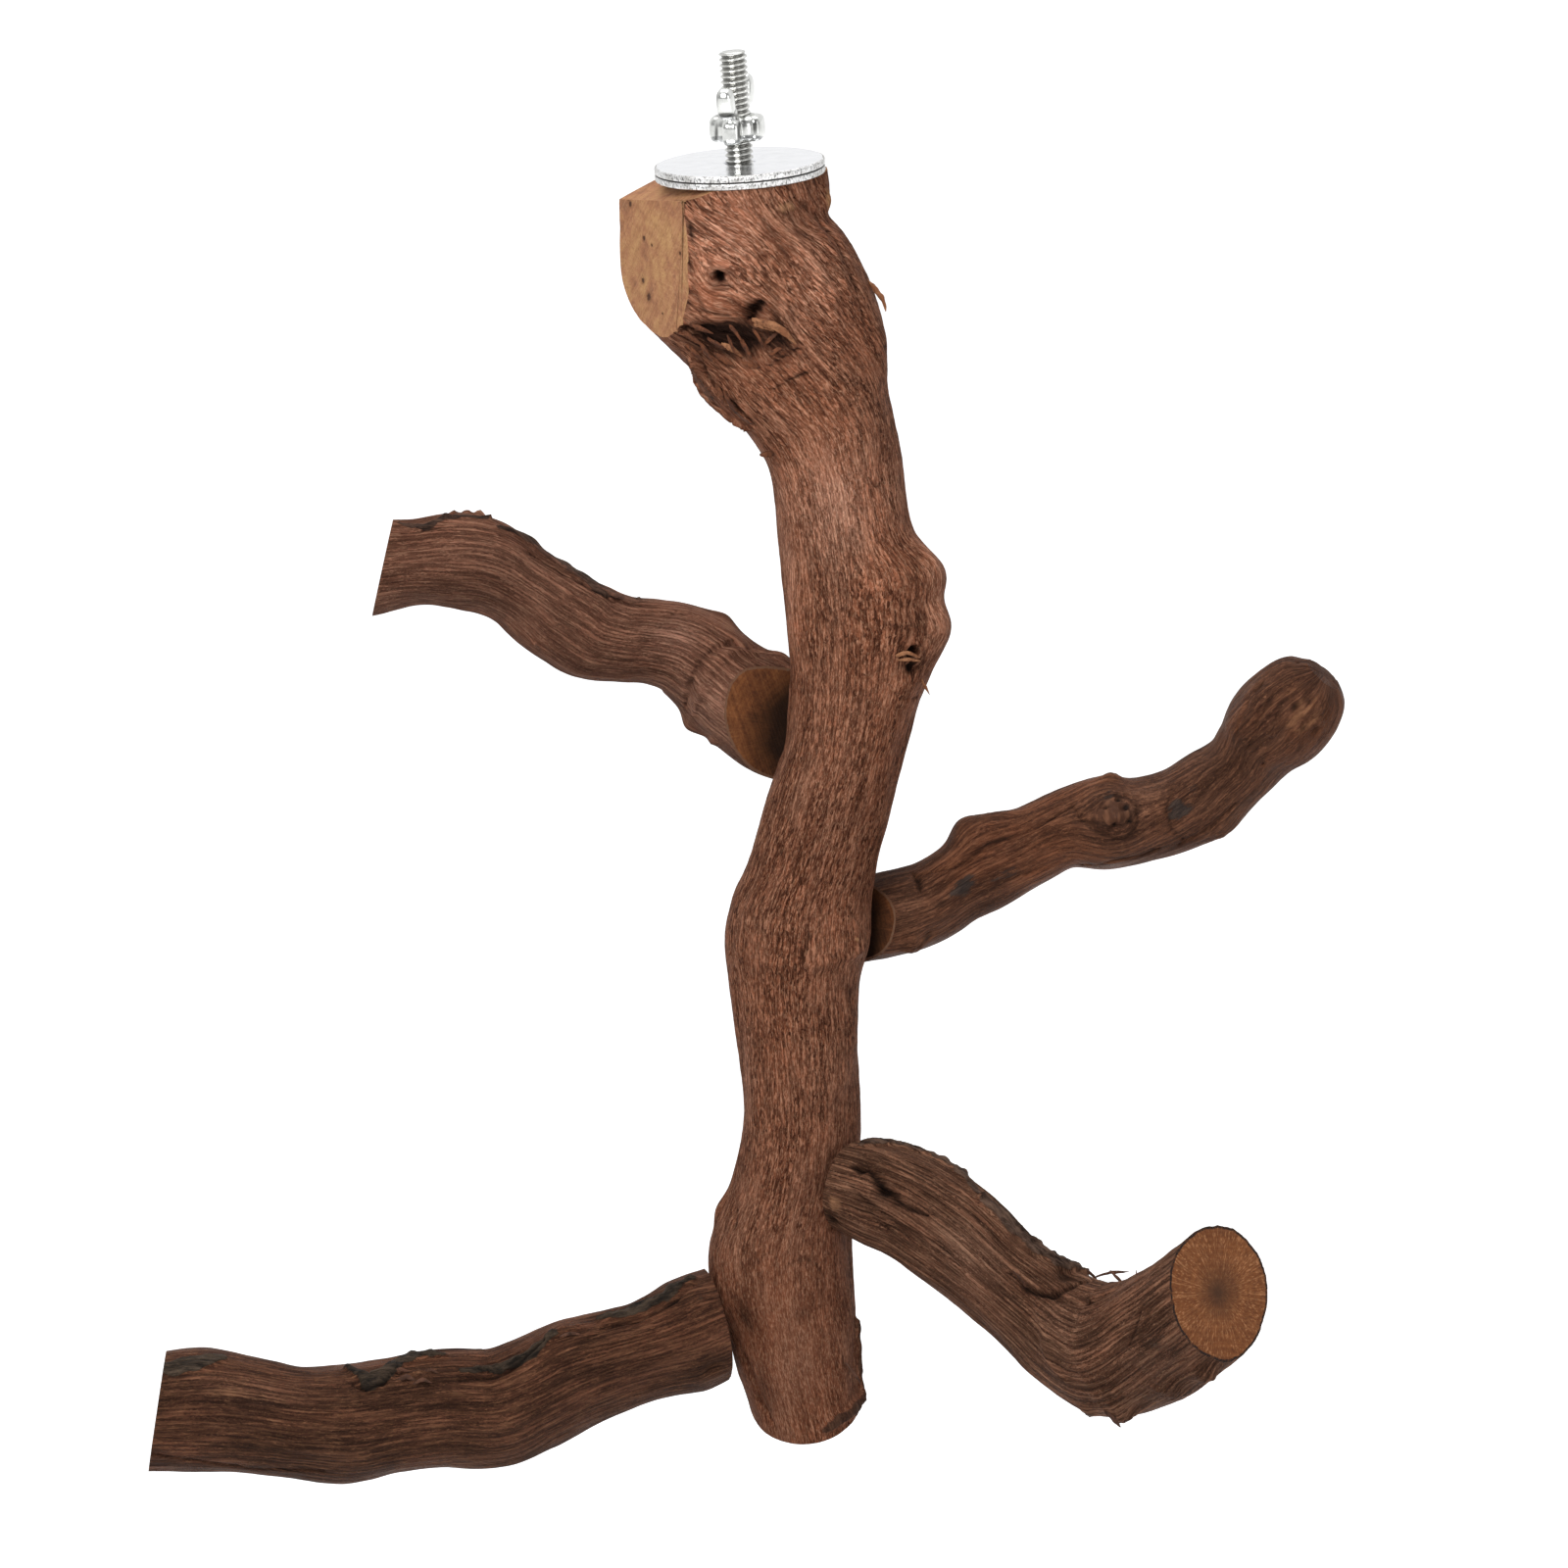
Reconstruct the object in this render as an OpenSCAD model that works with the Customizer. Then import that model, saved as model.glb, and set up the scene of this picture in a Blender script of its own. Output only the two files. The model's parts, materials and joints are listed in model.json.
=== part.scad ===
// Natural-wood bird perch: a crooked trunk that hangs from a bolt, with four perches screwed to it.
// The origin is on the bolt's axis, where the two washers meet. +Z is up the bolt, +X is right, -Y is the front.

/* [Trunk] */
// Length of the trunk, from the sawn top to the foot
trunk_l = 282; // [240:1:330]
// Thickness of the trunk where it is plain
trunk_d = 27; // [24:0.5:32]

/* [Perches] */
// Length of the upper left perch, from its screw to its far end
upper_left_l = 103; // [85:1:130]
// Thickness of the upper left perch
upper_left_d = 21; // [18:0.5:25]
// Length of the right perch, from its screw to its far end
right_l = 120; // [95:1:150]
// Thickness of the right perch
right_d = 20; // [17:0.5:24]
// Length of the lower right perch, from its screw to its far end
lower_right_l = 104; // [85:1:130]
// Thickness of the lower right perch
lower_right_d = 24; // [20:0.5:28]
// Length of the lower left perch, from its screw to its far end
lower_left_l = 129; // [100:1:160]
// Thickness of the lower left perch
lower_left_d = 26; // [22:0.5:30]

/* [Hanger bolt] */
// Thread diameter of the hanger bolt
bolt_d = 6.35; // [5:0.05:8]
// Pitch of the bolt's machine thread
bolt_pitch = 1.27; // [0.8:0.01:1.5]
// Height of the bolt above the upper washer
bolt_above = 25; // [21:0.5:40]
// Depth of the bolt in the wood
bolt_in_wood = 32; // [20:1:45]
// Pitch of the bolt's wood thread
wood_pitch = 2.6; // [2:0.1:3.5]

/* [Washers] */
// Outside diameter of both washers
washer_d = 38.1; // [25:0.1:42]
// Thickness of one washer
washer_t = 1.6; // [1:0.1:2.5]

/* [Wing nut] */
// Diameter of the wing nut's hub
hub_d = 12.4; // [11.5:0.1:16]
// Height of the wing nut's hub
hub_h = 6.4; // [5:0.1:9]
// Span of the wing nut over both wings
wing_span = 24; // [21:0.5:34]
// Height of the wing nut from its foot to the tips of its wings
wing_h = 13.5; // [11:0.1:15]
// Thickness of a wing
wing_t = 3.6; // [2:0.1:4]
// Gap under the wing nut as it is stored
nut_lift = 4.6; // [2:0.1:5]

/* [Dowel screws] */
// Thread diameter of the double-ended dowel screws
dowel_d = 5; // [4:0.1:6]
// Depth of a dowel screw in the trunk
dowel_in_trunk = 18; // [12:0.5:19]
// Depth of a dowel screw in a perch
dowel_in_perch = 9.5; // [6:0.5:11]
// Pitch of a dowel screw
dowel_pitch = 2.2; // [1.5:0.1:3]

/* [Fits] */
// Gap between a perch's sawn face and the trunk
seat_gap = 0.45; // [0.4:0.05:0.8]
// Radial clearance of a thread that turns in its nut or bore
turn_fit = 0.05; // [0.02:0.01:0.1]
// Radial clearance of the bolt in a washer
washer_slip = 0.4; // [0.3:0.05:0.8]

/* [Hidden] */
round_fn = 96;
overrun = 1;

// How the picture is turned into places: where the origin lies in it, the lean of the bolt to the left,
// and how far the camera looks down. A place in the picture is [right, down, depth], all in pixels.
bolt_px = [755, 172];
picture_lean = 3.6;
picture_dip = 10.5;

// Trunk, from above the sawn top to the foot: [right, down, depth], then its reach to the left, right and back.
trunk_px = 1292;
trunk_d_px = 124;
trunk_rows_px = [
    [750, 150, 0, 158, 90, 82],
    [757, 195, 0, 160, 89, 84],
    [760, 218, 0, 164, 85, 85],
    [766, 240, 0, 168, 96, 86],
    [776, 280, 0, 172, 107, 86],
    [787, 315, 0, 150, 108, 84],
    [798, 345, 0, 128, 107, 80],
    [809, 375, 0, 106, 101, 76],
    [820, 400, 0, 101, 91, 72],
    [836, 432, 0, 82, 78, 70],
    [847, 465, 2, 69, 71, 68],
    [856, 505, 4, 65, 67, 66],
    [863, 545, 4, 67, 70, 66],
    [868, 580, 2, 69, 95, 68],
    [871, 610, 0, 71, 92, 68],
    [873, 640, -2, 71, 97, 68],
    [873, 680, -4, 68, 81, 67],
    [869, 720, -4, 66, 69, 66],
    [862, 760, -3, 63, 65, 65],
    [852, 800, 0, 65, 65, 65],
    [841, 840, 2, 64, 65, 65],
    [829, 880, 4, 64, 65, 65],
    [817, 920, 4, 70, 69, 67],
    [813, 960, 3, 73, 72, 70],
    [811, 1000, 2, 67, 67, 66],
    [813, 1040, 0, 64, 65, 63],
    [815, 1080, 0, 62, 63, 62],
    [817, 1120, 0, 61, 61, 61],
    [817, 1160, 0, 62, 62, 62],
    [812, 1200, 0, 65, 64, 63],
    [803, 1240, 0, 68, 66, 67],
    [797, 1280, 0, 72, 72, 70],
    [799, 1320, 0, 71, 71, 70],
    [806, 1360, 0, 64, 67, 66],
    [813, 1400, 0, 61, 62, 62],
    [822, 1440, 0, 58, 59, 58],
    [831, 1480, 0, 56, 56, 57],
    [840, 1520, 0, 54, 54, 55]
];
// Saw cuts on the trunk, each by three places: the oblique face of the stub at the top left,
// the small sloping face above it, and the foot
stub_face_px = [[636, 195, 45], [636, 320, 45], [700, 260, -74]];
shoulder_px = [[712, 203, -84], [690, 211, -88], [672, 197, 0]];
foot_px = [[766, 1448, 0], [880, 1430, 0], [822, 1475, -57]];

// Perches, from inside the trunk to the far end: [right, down, depth, width].
// Each seat is the height of the screw on the trunk's middle line, each turn its heading round the trunk,
// and each anchor the place where it comes out of the trunk.
upper_left_px = 472;
upper_left_d_px = 96;
upper_left_seat_px = 767;
upper_left_anchor_px = [825, 743, 62];
upper_left_turn = 120;
upper_left_rows_px = [
    [990, 776, 54, 100],
    [935, 766, 54, 104],
    [880, 756, 54, 108],
    [829, 746, 54, 108],
    [790, 735, 52, 110],
    [752, 712, 52, 112],
    [722, 689, 54, 107],
    [696, 671, 58, 98],
    [668, 659, 63, 86],
    [635, 652, 66, 87],
    [600, 643, 66, 98],
    [562, 621, 60, 96],
    [528, 596, 54, 88],
    [494, 576, 50, 97],
    [458, 572, 50, 98],
    [424, 573, 51, 88],
    [390, 576, 52, 92],
    [352, 584, 52, 94]
];
upper_left_tip_px = [[390, 576, 52], [400, 530, 52], [390, 576, 98]];

right_px = 550;
right_d_px = 92;
right_seat_px = 948;
right_anchor_px = [862, 943, 55];
right_turn = 46.7;
right_rows_px = [
    [742, 966, 52, 80],
    [782, 959, 52, 84],
    [822, 951, 51, 86],
    [862, 944, 51, 88],
    [905, 936, 52, 92],
    [945, 919, 52, 91],
    [978, 894, 54, 93],
    [1008, 877, 56, 96],
    [1045, 868, 60, 80],
    [1085, 849, 62, 79],
    [1125, 841, 62, 97],
    [1165, 837, 60, 90],
    [1205, 825, 56, 88],
    [1241, 803, 49, 86],
    [1269, 775, 40, 86],
    [1297, 749, 30, 93],
    [1324, 730, 22, 101],
    [1346, 723, 16, 84],
    [1365, 722, 12, 30]
];
right_tip_px = [[1365, 722, 12], [1365, 735, 12], [1365, 722, 20]];

lower_right_px = 476;
lower_right_d_px = 110;
lower_right_seat_px = 1196;
lower_right_anchor_px = [865, 1211, -39];
lower_right_turn = -36;
lower_right_rows_px = [
    [810, 1198, 4, 88],
    [838, 1203, -14, 92],
    [868, 1211, -32, 97],
    [902, 1222, -50, 108],
    [940, 1238, -70, 109],
    [980, 1266, -92, 110],
    [1020, 1302, -113, 101],
    [1058, 1333, -134, 106],
    [1096, 1362, -156, 120],
    [1136, 1378, -184, 136],
    [1172, 1368, -216, 134],
    [1206, 1346, -256, 131],
    [1243, 1318, -302, 131],
    [1284, 1286, -356, 131]
];
lower_right_tip_px = [[1243, 1318, -302], [1237, 1253, -292], [1291, 1320, -261]];

lower_left_px = 591;
lower_left_d_px = 119;
lower_left_seat_px = 1337;
lower_left_anchor_px = [731, 1352, -15];
lower_left_turn = 192;
lower_left_rows_px = [
    [805, 1330, 0, 108],
    [770, 1340, -7, 112],
    [735, 1352, -14, 116],
    [700, 1366, -22, 120],
    [660, 1380, -32, 104],
    [620, 1392, -39, 107],
    [580, 1405, -46, 113],
    [540, 1425, -53, 114],
    [500, 1440, -60, 119],
    [450, 1440, -68, 119],
    [400, 1446, -76, 117],
    [350, 1453, -82, 123],
    [300, 1452, -88, 117],
    [250, 1445, -92, 122],
    [205, 1441, -96, 129],
    [159, 1443, -100, 121],
    [110, 1446, -103, 118]
];
lower_left_tip_px = [[159, 1443, -100], [168, 1382, -100], [159, 1443, -40]];

// Sides and rings of the wood's surface
trunk_sides = 28;
trunk_rings = 66;
perch_sides = 20;
rings_per_row = 2;
// Step along a table, in rows, over which its direction is taken
run_step = 0.1;
// Half the height of trunk that each sawn face may meet as it turns, as shares of the perch's thickness
seat_span_shares = [0.7, 0.6, 0.6, 0.6];
// How uneven the wood is, as a share of its thickness
uneven_share = 0.025;

// Threads: depth and widths of crest and root as shares of the pitch.
// The bolt's free end has broad crests, so that its thread stands as one measured stud.
groove_share = 0.61;
crest_share = 0.15;
flank_share = 0.3;
tip_crest_share = 0.68;
tip_flank_share = 0.06;
tip_groove_share = 0.3;
tip_length = 6.4;
bolt_chamfer = 0.6;
wood_crest_share = 0.08;
wood_flank_share = 0.32;
wood_groove_share = 0.28;
point_share = 0.75;
point_r_share = 0.15;

// Washers' broken edges, and the wing nut's shape as shares of its own sizes
washer_edge_share = 0.12;
hub_waist_share = 0.86;
hub_bevel_share = 0.2;
core_wall_share = 0.35;
wing_tip_share = 0.36;
wing_root_share = 0.3;
wing_tip_angles = [-50, 150];
wing_tip_step = 20;
wing_turn = -99;

bolt_r = bolt_d / 2;
washer_hole_r = bolt_r + washer_slip;
washer_top = washer_t;
wood_top = -washer_t;
bolt_top = washer_top + bolt_above;
nut_foot = washer_top + nut_lift;
core_bore_r = bolt_r + turn_fit;
core_r = core_bore_r + (hub_d / 2 - core_bore_r) * core_wall_share;
dowel_r = dowel_d / 2;

trunk_mm = trunk_l / trunk_px;
trunk_girth_mm = trunk_d / trunk_d_px;

// Vector helpers
function unit(v) = v / norm(v);
function row_at(rows, i) = rows[min(max(i, 0), len(rows) - 1)];
function curve(a, b, c, d, f) =
    0.5 * (2 * b + (c - a) * f + (2 * a - 5 * b + 4 * c - d) * f * f + (3 * b - a - 3 * c + d) * f * f * f);
// A table's row at place t, counted in rows and smooth between them
function smooth_row(rows, t) =
    let (i = min(floor(t), len(rows) - 2), f = t - i)
    curve(row_at(rows, i - 1), row_at(rows, i), row_at(rows, i + 1), row_at(rows, i + 2), f);
// The place t of a height in a table that runs down the picture
function place_of_height(rows, down) =
    let (i = max([for (k = [0 : len(rows) - 2]) if (rows[k][1] <= down) k]))
    i + (down - rows[i][1]) / (rows[i + 1][1] - rows[i][1]);

// A place in the picture as a vector from the origin, still in pixels
function place(p) =
    let (right = p[0] - bolt_px[0], up = bolt_px[1] - p[1],
         level = right * cos(picture_lean) + up * sin(picture_lean),
         rise = up * cos(picture_lean) - right * sin(picture_lean))
    [level, p[2], (rise - p[2] * sin(picture_dip)) / cos(picture_dip)];
// The outward direction of a plane through three spots, turned to the same side as a given direction
function plane_out(spots, side) =
    let (n = unit(cross(spots[1] - spots[0], spots[2] - spots[0])))
    n * side > 0 ? n : -n;
// Slow waves over the wood, as a share of its thickness
function waves(angle, along) =
    uneven_share * (sin(2 * angle + 37 * along) + 0.6 * sin(3 * angle - 61 * along) + 0.4 * sin(5 * angle + 83 * along));

// One ring of the trunk, which lies level in the picture
trunk_side = [cos(picture_lean), 0, -sin(picture_lean)];
trunk_back = [0, 1, 0];
function trunk_centre(t) = place(smooth_row(trunk_rows_px, t)) * trunk_mm;
function trunk_run(t) = unit(trunk_centre(t - run_step) - trunk_centre(t + run_step));
function trunk_ring(t) =
    let (row = smooth_row(trunk_rows_px, t), centre = trunk_centre(t))
    [for (k = [0 : trunk_sides - 1])
        let (a = 360 * k / trunk_sides, swell = 1 + waves(a, t), reach = cos(a) > 0 ? row[4] : row[3])
        centre + trunk_girth_mm * swell * (trunk_side * cos(a) * reach + trunk_back * sin(a) * row[5])];

trunk_wood = [for (i = [0 : trunk_rings]) trunk_ring((len(trunk_rows_px) - 1) * i / trunk_rings)];
// The spot on or in the trunk that a place in the picture shows
function trunk_spot(p) =
    let (t = place_of_height(trunk_rows_px, p[1]))
    trunk_centre(t) + (place(p) - place(smooth_row(trunk_rows_px, t))) * trunk_girth_mm;

// Closed skin over rings: quads split in two, and a fan on each end
module skin(rings) {
    sides = len(rings[0]);
    last = len(rings) - 1;
    points = [for (ring = rings) for (p = ring) p];
    first_hub = len(points);
    hubs = [for (i = [0, last]) mean_place(rings[i])];
    walls = [for (i = [0 : last - 1]) for (k = [0 : sides - 1])
        let (n = (k + 1) % sides, a = i * sides + k, b = i * sides + n, c = a + sides, d = b + sides)
        for (face = [[a, b, c], [b, d, c]]) face];
    ends = [for (k = [0 : sides - 1])
        let (n = (k + 1) % sides)
        for (face = [[first_hub, n, k], [first_hub + 1, last * sides + k, last * sides + n]]) face];
    polyhedron(concat(points, hubs), concat(walls, ends), convexity = 12);
}
function mean_place(ring, i = 0, sum = [0, 0, 0]) =
    i < len(ring) ? mean_place(ring, i + 1, sum + ring[i]) : sum / len(ring);

// Seats on the trunk: which way a perch's sawn face looks, square to the trunk's run, and where it touches
function seat_out(t, turn) =
    let (run = trunk_run(t), flat = [cos(turn), sin(turn), 0])
    unit(flat - (flat * run) * run);
function seat_reach(t, out, span) =
    let (centre = trunk_centre(t), run = trunk_run(t))
    max([for (ring = trunk_wood) for (p = ring) if (abs((p - centre) * run) < span) (p - centre) * out]);
function seat_spot(t, turn, span) =
    let (out = seat_out(t, turn))
    trunk_centre(t) + out * (seat_reach(t, out, span) + seat_gap);

// What each perch is made from: rows, anchor, seat, turn, length scale, girth scale, tip plane, seat span
perches = [
    [upper_left_rows_px, upper_left_anchor_px, upper_left_seat_px, upper_left_turn,
     upper_left_l / upper_left_px, upper_left_d / upper_left_d_px, upper_left_tip_px,
     upper_left_d * seat_span_shares[0]],
    [right_rows_px, right_anchor_px, right_seat_px, right_turn,
     right_l / right_px, right_d / right_d_px, right_tip_px,
     right_d * seat_span_shares[1]],
    [lower_right_rows_px, lower_right_anchor_px, lower_right_seat_px, lower_right_turn,
     lower_right_l / lower_right_px, lower_right_d / lower_right_d_px, lower_right_tip_px,
     lower_right_d * seat_span_shares[2]],
    [lower_left_rows_px, lower_left_anchor_px, lower_left_seat_px, lower_left_turn,
     lower_left_l / lower_left_px, lower_left_d / lower_left_d_px, lower_left_tip_px,
     lower_left_d * seat_span_shares[3]]
];
function perch_out(perch) = seat_out(place_of_height(trunk_rows_px, perch[2]), perch[3]);
function perch_seat(perch) =
    seat_spot(place_of_height(trunk_rows_px, perch[2]), perch[3], perch[7]);
function perch_centre(perch, seat, t) = perch_spot(perch, seat, smooth_row(perch[0], t));
function perch_ring(perch, seat, t) =
    let (run = unit(perch_centre(perch, seat, t + run_step) - perch_centre(perch, seat, t - run_step)),
         side = unit(cross(run, [0, 0, 1])), lift = cross(side, run),
         width = smooth_row(perch[0], t)[3], centre = perch_centre(perch, seat, t))
    [for (k = [0 : perch_sides - 1])
        let (a = 360 * k / perch_sides, reach = perch[5] * width / 2 * (1 + waves(a, t)))
        centre + reach * (side * cos(a) + lift * sin(a))];
function perch_wood(perch, seat) =
    [for (i = [0 : (len(perch[0]) - 1) * rings_per_row]) perch_ring(perch, seat, i / rings_per_row)];
function perch_spot(perch, seat, p) = seat + (place(p) - place(perch[1])) * perch[4];

// Turns the Z axis to a direction, and moves to a spot
module facing(spot, out) {
    translate(spot)
        rotate([0, acos(out[2]), atan2(out[1], out[0])])
            children();
}
// Everything on the inner side of a plane at the spot
module behind(spot, out, size) {
    facing(spot, out)
        translate([-size / 2, -size / 2, -size])
            cube(size);
}

module perch(perch, tint) {
    seat = perch_seat(perch);
    out = perch_out(perch);
    tip = [for (p = perch[6]) perch_spot(perch, seat, p)];
    color(tint)
        difference() {
            skin(perch_wood(perch, seat));
            behind(seat, out, trunk_l);
            behind(tip[0], -plane_out(tip, tip[0] - seat), trunk_l);
            facing(seat, out)
                translate([0, 0, -overrun])
                    cylinder(h = overrun + dowel_in_perch + turn_fit, r = dowel_r + turn_fit, $fn = round_fn);
        }
}

// Rings of a thread: crests and grooves that a turned profile passes through
function thread_profile(foot, pitch, turns, crest_r, groove, crest, flank) =
    [for (i = [0 : turns - 1])
        for (p = [[crest_r, 0], [crest_r, crest], [crest_r - groove, crest + flank],
                  [crest_r - groove, 1 - flank]])
            [p[0], foot + (i + p[1]) * pitch]];

module dowel_screw(perch) {
    foot = -dowel_in_trunk;
    head = dowel_in_perch;
    point = dowel_d * point_share;
    turns = floor((head - foot - 2 * point) / dowel_pitch);
    start = (head + foot - turns * dowel_pitch) / 2;
    groove = dowel_pitch * wood_groove_share;
    color("silver")
        facing(perch_seat(perch), perch_out(perch))
            rotate_extrude($fn = round_fn)
                polygon(concat(
                    [[0, foot], [dowel_r * point_r_share, foot], [dowel_r - groove, foot + point]],
                    thread_profile(start, dowel_pitch, turns, dowel_r, groove, wood_crest_share, wood_flank_share),
                    [[dowel_r - groove, head - point], [dowel_r * point_r_share, head], [0, head]]));
}

// Cuts the trunk off beyond three spots, on the given side
module saw(places, side) {
    spots = [for (p = places) trunk_spot(p)];
    behind(spots[0], -plane_out(spots, side), trunk_l);
}

module trunk() {
    color("sienna")
        difference() {
            skin(trunk_wood);
            behind([0, 0, wood_top], [0, 0, -1], trunk_l);
            saw(stub_face_px, [-1, 0, 0]);
            saw(shoulder_px, [0, 0, 1]);
            saw(foot_px, [0, 0, -1]);
            translate([0, 0, wood_top - bolt_in_wood])
                cylinder(h = bolt_in_wood + overrun, r = bolt_r, $fn = round_fn);
            for (perch = perches)
                facing(perch_seat(perch), perch_out(perch))
                    translate([0, 0, -dowel_in_trunk])
                        cylinder(h = dowel_in_trunk + overrun, r = dowel_r, $fn = round_fn);
        }
}

module hanger_bolt() {
    foot = wood_top - bolt_in_wood;
    point = bolt_d * point_share;
    wood_turns = floor((bolt_in_wood - point) / wood_pitch);
    tip_turns = round(tip_length / bolt_pitch);
    tip_foot = bolt_top - bolt_chamfer - tip_turns * bolt_pitch;
    turns = floor((tip_foot - wood_top) / bolt_pitch);
    color("silver")
        rotate_extrude($fn = round_fn)
            polygon(concat(
                [[0, foot], [bolt_r * point_r_share, foot], [bolt_r - wood_pitch * wood_groove_share, foot + point]],
                thread_profile(wood_top - wood_turns * wood_pitch, wood_pitch, wood_turns, bolt_r,
                               wood_pitch * wood_groove_share, wood_crest_share, wood_flank_share),
                thread_profile(tip_foot - turns * bolt_pitch, bolt_pitch, turns, bolt_r,
                               bolt_pitch * groove_share, crest_share, flank_share),
                thread_profile(tip_foot, bolt_pitch, tip_turns, bolt_r,
                               bolt_pitch * tip_groove_share, tip_crest_share, tip_flank_share),
                [[bolt_r - bolt_chamfer, bolt_top], [0, bolt_top]]));
}

module washer(foot) {
    edge = washer_t * washer_edge_share;
    color("gainsboro")
        translate([0, 0, foot])
            rotate_extrude($fn = round_fn)
                polygon([
                    [washer_hole_r, 0], [washer_d / 2 - edge, 0], [washer_d / 2, edge],
                    [washer_d / 2, washer_t - edge], [washer_d / 2 - edge, washer_t], [washer_hole_r, washer_t]
                ]);
}

module lower_washer() {
    washer(wood_top);
}

module upper_washer() {
    washer(0);
}

// Threaded core of the wing nut, which rides up the bolt as the wings turn
module wing_nut_core() {
    color("lightgrey")
        translate([0, 0, nut_foot])
            difference() {
                cylinder(h = hub_h, r = core_r, $fn = round_fn);
                translate([0, 0, -overrun])
                    cylinder(h = hub_h + 2 * overrun, r = core_bore_r, $fn = round_fn);
            }
}

// Outline of one wing in its own plane, from the hub outward and round its tip
module wing_outline() {
    tip_r = wing_h * wing_tip_share / 2;
    tip = [wing_span / 2 - tip_r, wing_h - tip_r];
    polygon(concat(
        [[bolt_r, hub_h * wing_root_share], [hub_d / 2, hub_h * wing_root_share]],
        [for (a = [wing_tip_angles[0] : wing_tip_step : wing_tip_angles[1]]) tip + tip_r * [cos(a), sin(a)]],
        [[bolt_r, hub_h]]
    ));
}

module wing_nut() {
    color("silver")
        translate([0, 0, nut_foot])
            difference() {
                union() {
                    rotate_extrude($fn = round_fn)
                        polygon([
                            [0, 0], [hub_d / 2 * hub_waist_share, 0], [hub_d / 2, hub_h * hub_bevel_share],
                            [hub_d / 2, hub_h * (1 - hub_bevel_share)], [hub_d / 2 * hub_waist_share, hub_h],
                            [0, hub_h]
                        ]);
                    for (half = [0, 180])
                        rotate([0, 0, wing_turn + half])
                            rotate([90, 0, 0])
                                translate([0, 0, -wing_t / 2])
                                    linear_extrude(wing_t)
                                        wing_outline();
                }
                translate([0, 0, -overrun])
                    cylinder(h = hub_h + wing_h, r = core_r + turn_fit, $fn = round_fn);
            }
}

trunk();
perch(perches[0], "#6e4a35");  // upper_left_perch
perch(perches[1], "#74492f");  // right_perch
perch(perches[2], "#6b4a38");  // lower_right_perch
perch(perches[3], "#5c3e30");  // lower_left_perch
dowel_screw(perches[0]);  // upper_left_dowel
dowel_screw(perches[1]);  // right_dowel
dowel_screw(perches[2]);  // lower_right_dowel
dowel_screw(perches[3]);  // lower_left_dowel
hanger_bolt();
lower_washer();
upper_washer();
wing_nut_core();
wing_nut();
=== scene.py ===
import json
import math

import bmesh
import bpy
import numpy as np
from mathutils import Matrix, Vector


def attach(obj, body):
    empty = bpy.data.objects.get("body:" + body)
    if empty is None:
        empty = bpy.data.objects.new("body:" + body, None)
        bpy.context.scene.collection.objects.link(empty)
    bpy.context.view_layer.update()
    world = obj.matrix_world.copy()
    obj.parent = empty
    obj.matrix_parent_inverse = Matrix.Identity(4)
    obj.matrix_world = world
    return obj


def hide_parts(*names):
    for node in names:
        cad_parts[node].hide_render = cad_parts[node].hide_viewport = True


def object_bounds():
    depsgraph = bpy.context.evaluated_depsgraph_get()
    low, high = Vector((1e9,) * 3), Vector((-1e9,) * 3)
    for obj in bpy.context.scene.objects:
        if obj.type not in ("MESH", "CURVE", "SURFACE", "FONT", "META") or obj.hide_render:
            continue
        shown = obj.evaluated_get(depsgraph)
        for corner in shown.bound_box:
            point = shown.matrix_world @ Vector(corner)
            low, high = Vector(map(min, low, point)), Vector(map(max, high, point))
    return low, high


# A natural-wood bird perch: a crooked trunk on a hanger bolt, with four perches screwed to it.
# Lengths are metres. A spot is a place in the photograph's 1600 by 1600 frame, its depth in pixels too.

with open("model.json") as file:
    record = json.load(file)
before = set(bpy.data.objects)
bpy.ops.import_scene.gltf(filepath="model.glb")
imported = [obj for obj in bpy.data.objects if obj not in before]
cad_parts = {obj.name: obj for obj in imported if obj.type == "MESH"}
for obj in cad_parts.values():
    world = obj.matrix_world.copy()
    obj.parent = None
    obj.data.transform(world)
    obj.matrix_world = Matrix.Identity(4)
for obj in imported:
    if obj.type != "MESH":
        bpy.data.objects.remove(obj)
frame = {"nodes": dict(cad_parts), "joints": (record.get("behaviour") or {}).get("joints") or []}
bpy.context.scene.view_settings.view_transform = "Standard"
cadLow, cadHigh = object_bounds()
print("frame loaded:", len(frame["nodes"]), "nodes")

picture = {
    "width": 1600,
    "pixelsPerMetre": 4580.0,
    "originSpot": (755, 172),   # where the frame's origin shows
    "lean": 3.6,                # the bolt leans this many degrees to the left
    "dip": 10.5,                # the camera looks down by this many degrees
    "distance": 12.0,           # metres from the camera to the object
    "sensor": 36.0,             # millimetres
    "clip": (0.1, 60.0),
}
pixel = 1 / picture["pixelsPerMetre"]
millimetre = 0.001
weldDistance = 1e-7
lean = math.radians(picture["lean"])
dip = math.radians(picture["dip"])
screenRight = np.array([math.cos(lean), -math.sin(lean) * math.sin(dip), -math.sin(lean) * math.cos(dip)])
screenUp = np.array([math.sin(lean), math.cos(lean) * math.sin(dip), math.cos(lean) * math.cos(dip)])
screenIn = np.array([0.0, math.cos(dip), -math.sin(dip)])


# From spots in the picture to places on the object, and back
def placeOf(spots):
    spots = np.asarray(spots, float)
    right = spots[..., 0] - picture["originSpot"][0]
    up = picture["originSpot"][1] - spots[..., 1]
    depth = spots[..., 2]
    level = right * math.cos(lean) + up * math.sin(lean)
    rise = up * math.cos(lean) - right * math.sin(lean)
    return np.stack([level, depth, (rise - depth * math.sin(dip)) / math.cos(dip)], -1) * pixel


def spotOf(points):
    right = points @ screenRight / pixel
    up = points @ screenUp / pixel
    return np.stack([picture["originSpot"][0] + right, picture["originSpot"][1] - up], -1)


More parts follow.
